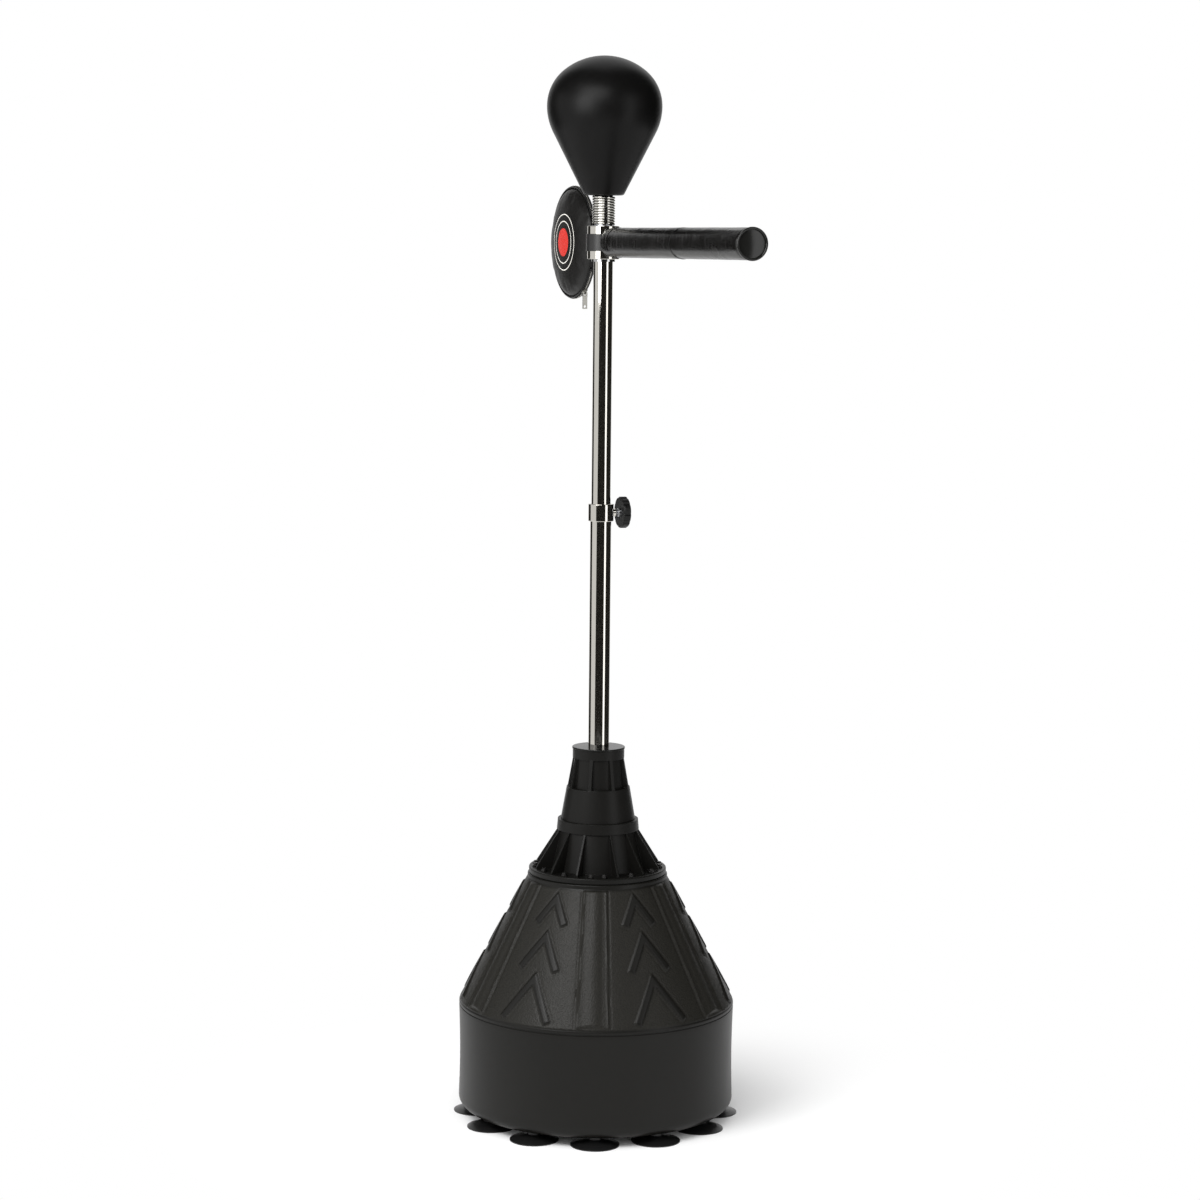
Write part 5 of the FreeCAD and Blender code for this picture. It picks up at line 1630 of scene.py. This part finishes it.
@dataclass
class TargetPad:
    """The round target: a puffed cover with a zip let in round its rim.

    Attributes:
        slack: How much smaller the cover is made than it swells to.
        belly: Half thickness at the middle.
        rim: Half thickness at the rim.
        piping: Radius of the piping on each side of the zip.
        piping_gap: Distance from the zip to the piping.
        sunk: How deep the piping lies in the cover.
        tooth_pitch: Distance from tooth to tooth.
        tooth_size: Length of a tooth outwards, along the rim and across it.
        stitch_pitch: Distance from stitch to stitch.
        stitch_size: Length of a stitch outwards, along the rim and across it.
        gap: Angle to each side of the arm that has no zip.
    """

    slack: float = 0.7 * MM
    belly: float = 17 * MM
    rim: float = 8 * MM
    piping: float = 1.2 * MM
    piping_gap: float = 0.8 * MM
    sunk: float = 0.5 * MM
    tooth_pitch: float = 1.35 * MM
    tooth_size: tuple[float, float, float] = (1.1 * MM, 0.85 * MM, 2.0 * MM)
    stitch_pitch: float = 3.6 * MM
    stitch_size: tuple[float, float, float] = (0.5 * MM, 2.5 * MM, 0.5 * MM)
    gap: float = math.radians(30.0)
    filling: Filling = field(default_factory=lambda: Filling(voxel=4.5 * MM, pressure=4.0, cap=7 * MM))

    def __post_init__(self) -> None:
        """Takes the pad's place from the frame."""
        self.centre = middle("target_cover")
        self.radius = reach("target_cover", self.centre, UP)[1]
        self.seat = Seat(self.centre, PRINT_WAY, BAR_WAY)
        low, high = reach("zip_tape", self.centre, PRINT_WAY)
        self.zip_at = (low + high) / 2
        self.zip_half = (high - low) / 2
        self.zip_radius = reach("zip_tape", self.centre, UP)[1]

    def finish(self) -> Finish:
        """The printed cover's finish.

        Returns:
            The finish, centred on the pad.
        """
        return Printed("target_vinyl", "target_vinyl", (0.0048, 0.0044, 0.0040), 0.42, specular=0.35,
                       crease=0.00012, fold=0.03, centre=tuple(self.centre), facing=tuple(PRINT_WAY))

    def build(self, rings: RingRecipe) -> None:
        """Builds the cover, its piping, the zip's teeth and the stitches.

        Args:
            rings: The recipe that copies a template.
        """
        edge = self.radius - self.slack
        face = [(0.0, self.belly)]
        for share in np.linspace(0.08, 0.9, 16):
            face.append((edge * share, self.rim + (self.belly - self.rim) * math.sqrt(1 - share ** 2)))
        shape = [(radius, -height) for radius, height in face]
        shape += arc((edge - self.rim, 0.0), self.rim, -70, 70, 10)
        shape += reversed(face)
        cover = turned("target_pad", shape, 96, self.seat)
        self.filling.swell(cover, self.is_sewn)
        dress(cover, self.finish(), "hub", "target_cover", "target_foam")
        for number, side in enumerate((-1, 1), 1):
            at = self.zip_at + side * (self.zip_half + self.piping_gap)
            ring = arc((self.radius - self.sunk, at), self.piping, -180, 180, 10)
            dress(turned("target_piping_%d" % number, ring, 128, self.seat, 180.0), Finishes.BAR, "hub")
        self.zip_trims(rings)

    def is_sewn(self, point: Vector) -> bool:
        """Whether a point of the cover is held by the zip's seam.

        Args:
            point: The point.

        Returns:
            True where it is held.
        """
        away = point - self.centre
        along = away.dot(PRINT_WAY)
        out = (away - PRINT_WAY * along).length
        return out > self.radius - 5 * MM and abs(along - self.zip_at) < self.zip_half

    def zip_trims(self, rings: RingRecipe) -> None:
        """The zip's teeth and the two rows of stitches beside them.

        Args:
            rings: The recipe that copies a template.
        """
        around = math.tau - 2 * self.gap
        seat = Seat(self.centre + PRINT_WAY * self.zip_at, PRINT_WAY, BAR_WAY)
        tooth = rounded_block("tooth", Vector(self.tooth_size), 0.2 * MM)
        step = self.tooth_pitch / self.zip_radius
        values = {"Template": tooth, "Count": int(around / step), "Radius": self.zip_radius + 0.35 * MM,
                  "First": self.gap, "Step": step, "Stagger": 0.45 * MM, "Roll": 0.02, "Seed": 3,
                  "Material": Finishes.ZIP_METAL.material}
        teeth = seat_piece(rings.run("zip_teeth", values, 25.0), seat)
        dress(teeth, Finishes.ZIP_METAL, "hub")
        drop(tooth)
        thread = rounded_block("stitch", Vector(self.stitch_size), 0.15 * MM)
        step = self.stitch_pitch / self.zip_radius
        for number, side in enumerate((-1, 1), 1):
            offset = PRINT_WAY * side * (self.zip_half - 0.7 * MM)
            values = {"Template": thread, "Count": int(around / step), "Radius": self.zip_radius + 0.1 * MM,
                      "First": self.gap, "Step": step, "Stagger": 0.0, "Roll": 0.06, "Seed": number,
                      "Material": Finishes.THREAD.material}
            row = rings.run("zip_stitches_%d" % number, values, 25.0)
            seat_piece(row, Seat(seat.origin + offset, PRINT_WAY, BAR_WAY))
            dress(row, Finishes.THREAD, "hub")
        drop(thread)


@dataclass
class BallSpring:
    """The close coil under the ball, in two halves that meet at the same middle point.

    Attributes:
        wire: Radius of the wire.
        pitch: Climb of one turn.
        steps: Points in one turn.
    """

    wire: float = 2 * MM
    pitch: float = 4.2 * MM
    steps: int = 60

    def build(self) -> None:
        """Builds both halves."""
        low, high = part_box("ball_spring")
        middle_z = joint("ball_tilt_x")["pos_m"][2]
        radius = high.y - self.wire
        recipe = CoilRecipe()
        start, end = low.z + self.wire, high.z - self.wire
        turned_by = 0.0
        halves = (
            ("spring_lower", start, middle_z, "upper_pole", "spring", low.z, middle_z),
            ("spring_upper", middle_z, end, "spring", "ball", middle_z, high.z),
        )
        for name, foot, head, body, child, bend_low, bend_high in halves:
            turns = (head - foot) / self.pitch
            values = {"Radius": radius, "Wire": self.wire, "Turns": turns, "Height": head - foot,
                      "Foot": foot, "Turned": turned_by, "Steps": self.steps,
                      "Material": Finishes.SPRING.material}
            half = recipe.run(name, values, 60.0)
            turned_by -= math.tau * turns
            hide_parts("ball_spring")
            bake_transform(half)
            log.info("%s bends between %s and %s", name, body, child)


@dataclass
class ReflexBall:
    """The pear-shaped ball's seamless cover, with a soft turned-in foot.

    Attributes:
        foot_round: Radius of the foot's turned-in edge.
        foot_inset: How far that edge's centre lies inside the foot's radius.
        foot_turn: Degrees by which the edge stops short of the ball's own lean.
        shoulder: Radius of the profile's arc over the widest place.
        crown: Radius of the crown's arc.
        lean: Angle below the widest place at which the ball runs into its foot.
        foot: Radius of the foot.
        step: Longest step of the outline.
    """

    foot_round: float = 5 * MM
    foot_inset: float = 3.75 * MM
    foot_turn: float = 60.0
    shoulder: float = 74 * MM
    crown: float = 105.4 * MM
    lean: float = math.radians(26.65)
    foot: float = 33 * MM
    step: float = 6 * MM

    def outline(self) -> Outline:
        """The ball's outline, from the middle of its foot to its crown.

        Returns:
            The outline.
        """
        low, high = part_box("ball_cover")
        big = high.x
        drop_by = math.sqrt((self.crown - self.shoulder) ** 2 - (big - self.shoulder) ** 2)
        centre = high.z - self.crown + drop_by
        shape = [(0.0, low.z), (self.foot - self.foot_round, low.z)]
        turn_end = math.degrees(self.lean) - self.foot_turn
        foot_centre = (self.foot - self.foot_inset, low.z + self.foot_round)
        shape += arc(foot_centre, self.foot_round, -90, turn_end, 6)[1:]
        shape += arc((0.0, centre), big, -math.degrees(self.lean), 0, 16)
        tangent = math.degrees(math.acos((big - self.shoulder) / (self.crown - self.shoulder)))
        shape += arc((big - self.shoulder, centre), self.shoulder, 0, tangent, 16)[1:]
        shape += arc((0.0, high.z - self.crown), self.crown, tangent, 90, 16)[1:-1]
        shape.append((0.0, high.z))
        return refine(shape, self.step)

    def build(self) -> None:
        """Builds the cover."""
        cover = turned("ball_skin", self.outline(), 128, Seat(Vector(), UP, Vector((1, 0, 0))), 60.0)
        dress(cover, Finishes.BALL, "ball", "ball_cover", "ball_foam")


def refine(outline: Outline, most: float) -> Outline:
    """Divides an outline's long chords, so that no step is longer than most.

    Args:
        outline: The outline.
        most: Longest step.

    Returns:
        The outline with its new points.
    """
    made = [outline[0]]
    for end in outline[1:]:
        start = made[-1]
        parts = max(1, math.ceil(math.dist(start, end) / most))
        made += [(start[0] + (end[0] - start[0]) * k / parts, start[1] + (end[1] - start[1]) * k / parts)
                 for k in range(1, parts + 1)]
    return made


# ---------------------------------------------------------------- studio


@dataclass(frozen=True)
class Softbox:
    """A soft lamp.

    Attributes:
        name: Its name.
        bearing: Degrees from the front towards the right.
        distance: Metres from the stand's axis.
        height: Height of its middle.
        wide: Width of its face.
        tall: Height of its face.
        glow: Brightness of its face.
        aim: Height on the axis that it looks at.
    """

    name: str
    bearing: float
    distance: float
    height: float
    wide: float
    tall: float
    glow: float
    aim: float = 0.9

    def build(self) -> None:
        """Makes the lamp, unseen by the camera itself."""
        data = bpy.data.lights.new(self.name, "AREA")
        data.shape = "RECTANGLE"
        data.size = self.wide
        data.size_y = self.tall
        data.energy = self.glow * self.wide * self.tall * math.pi
        lamp = bpy.data.objects.new(self.name, data)
        turn = math.radians(self.bearing)
        lamp.location = (self.distance * math.sin(turn), -self.distance * math.cos(turn), self.height)
        look = Vector((0.0, 0.0, self.aim)) - lamp.location
        lamp.rotation_euler = look.to_track_quat("-Z", "Y").to_euler()
        lamp.visible_camera = False
        bpy.context.scene.collection.objects.link(lamp)


@dataclass
class Studio:
    """A pale floor, soft lamps, a dark flag that only reflections see, and the camera.

    Attributes:
        floor_size: Half the floor's width.
        floor_white: How much light the floor gives back.
        floor_fade: Distances from the axis between which the floor turns into the background.
        sky: Strength of the even light.
        flag_open: Degrees to each side of the back that the flag leaves open.
        flag_steps: Flat faces of the flag's wall.
        look_down: Degrees by which the camera looks down.
        roll: Degrees by which the camera leans.
    """

    floor_size: float = 14.0
    floor_white: float = 0.97
    floor_fade: tuple[float, float] = (0.32, 0.75)
    sky: float = 0.70
    flag_distance: float = 3.6
    flag_height: float = 3.7
    flag_open: float = 34.0
    flag_steps: int = 40
    flag_colour: Colour = (0.02, 0.019, 0.017)
    lamps: tuple[Softbox, ...] = (
        Softbox("left_box", -74.0, 3.0, 1.35, 4.6, 2.9, 0.80),
        Softbox("right_strip", 52.0, 3.0, 1.35, 1.1, 2.9, 1.8),
        Softbox("near_front_left", -38.0, 1.8, 1.7, 1.1, 0.9, 5.5, 0.5),
        Softbox("overhead", -24.0, 2.4, 2.9, 2.6, 1.5, 4.4, 0.4),
    )
    eye: tuple[float, float, float] = (0.0, -5.07, 1.455)
    look_down: float = 6.6
    roll: float = 0.55
    lens: float = 92.4

    def build(self) -> None:
        """Sets the studio up."""
        self.world()
        self.floor()
        self.flag()
        for lamp in self.lamps:
            lamp.build()
        self.camera()
        bpy.context.scene.view_settings.view_transform = "Standard"

    @staticmethod
    def seen(graph: Graph) -> Wire:
        """1 for a ray from the camera, or one that a surface mirrors or lets through.

        Args:
            graph: The graph that asks.

        Returns:
            1 or 0.
        """
        rays = graph.add("ShaderNodeLightPath")
        return rays["Is Camera Ray"].most(rays["Is Glossy Ray"]).most(rays["Is Transmission Ray"])

    def world(self) -> None:
        """Even soft light, with a white background wherever it is seen or mirrored."""
        world = bpy.data.worlds.new("studio")
        graph = shader_graph(world)
        seen = self.seen(graph)
        strength = self.sky + (1.0 - self.sky) * seen
        shader = graph.add("ShaderNodeBackground", {}, {"Color": WHITE, "Strength": strength})
        graph.add("ShaderNodeOutputWorld", {}, {"Surface": shader["Background"]})
        bpy.context.scene.world = world

    def floor(self) -> None:
        """A pale floor that fades into the white background away from the stand."""
        corners = np.array([(-1, -1, 0), (1, -1, 0), (1, 1, 0), (-1, 1, 0)]) * self.floor_size
        floor = new_piece("floor", corners, [(0, 1, 2, 3)])
        material = bpy.data.materials.new("pale_floor")
        graph = shader_graph(material)
        away = graph.vector("LENGTH", graph.place())["Value"].step(*self.floor_fade)
        grey = self.floor_white
        pale = graph.add("ShaderNodeBsdfDiffuse", {}, {"Color": (grey, grey, grey, 1.0)})["BSDF"]
        white = graph.add("ShaderNodeEmission", {}, {"Color": WHITE, "Strength": 1.0})["Emission"]
        values = {0: self.seen(graph) * away, 1: pale, 2: white}
        mixed = graph.add("ShaderNodeMixShader", {}, values)["Shader"]
        graph.add("ShaderNodeOutputMaterial", {}, {"Surface": mixed})
        floor.data.materials.append(material)

    def flag(self) -> None:
        """A dark curved flag round and over the set, open behind the stand."""
        points, faces = [], []
        steps = self.flag_steps
        turn = math.radians(180.0 - self.flag_open)
        for k in range(steps + 1):
            bearing = -turn + 2 * turn * k / steps
            for height in (0.0, self.flag_height):
                out, front = self.flag_distance * math.sin(bearing), self.flag_distance * math.cos(bearing)
                points.append((out, -front, height))
        points.append((0.0, 0.0, self.flag_height))
        for k in range(steps):
            faces.append((2 * k, 2 * k + 1, 2 * k + 3, 2 * k + 2))
            faces.append((2 * k + 1, len(points) - 1, 2 * k + 3))
        flag = new_piece("dark_flag", np.array(points), faces)
        material = bpy.data.materials.new("flag_cloth")
        graph = shader_graph(material)
        cloth = graph.add("ShaderNodeBsdfDiffuse", {}, {"Color": (*self.flag_colour, 1.0)})["BSDF"]
        graph.add("ShaderNodeOutputMaterial", {}, {"Surface": cloth})
        flag.data.materials.append(material)
        flag.visible_camera = False
        flag.visible_diffuse = False
        flag.visible_shadow = False

    def camera(self) -> None:
        """The camera, at eye height in front of the stand."""
        data = bpy.data.cameras.new("camera")
        data.lens = self.lens
        data.sensor_width = 36.0
        camera = bpy.data.objects.new("camera", data)
        tilt = Matrix.Rotation(math.radians(90.0 - self.look_down), 4, "X")
        lean = Matrix.Rotation(math.radians(self.roll), 4, "Z")
        camera.matrix_world = Matrix.Translation(self.eye) @ tilt @ lean
        bpy.context.scene.collection.objects.link(camera)
        bpy.context.scene.camera = camera


def main() -> None:
    """Builds the stand and its studio."""
    logging.basicConfig(level=logging.INFO, format="%(name)s: %(message)s")
    rings = RingRecipe()
    dress_nodes()
    Tank().build()
    FlangeScrews().build(rings)
    StrikeBar().build()
    TargetPad().build(rings)
    BallSpring().build()
    ReflexBall().build()
    Studio().build()


if __name__ == "__main__":
    main()
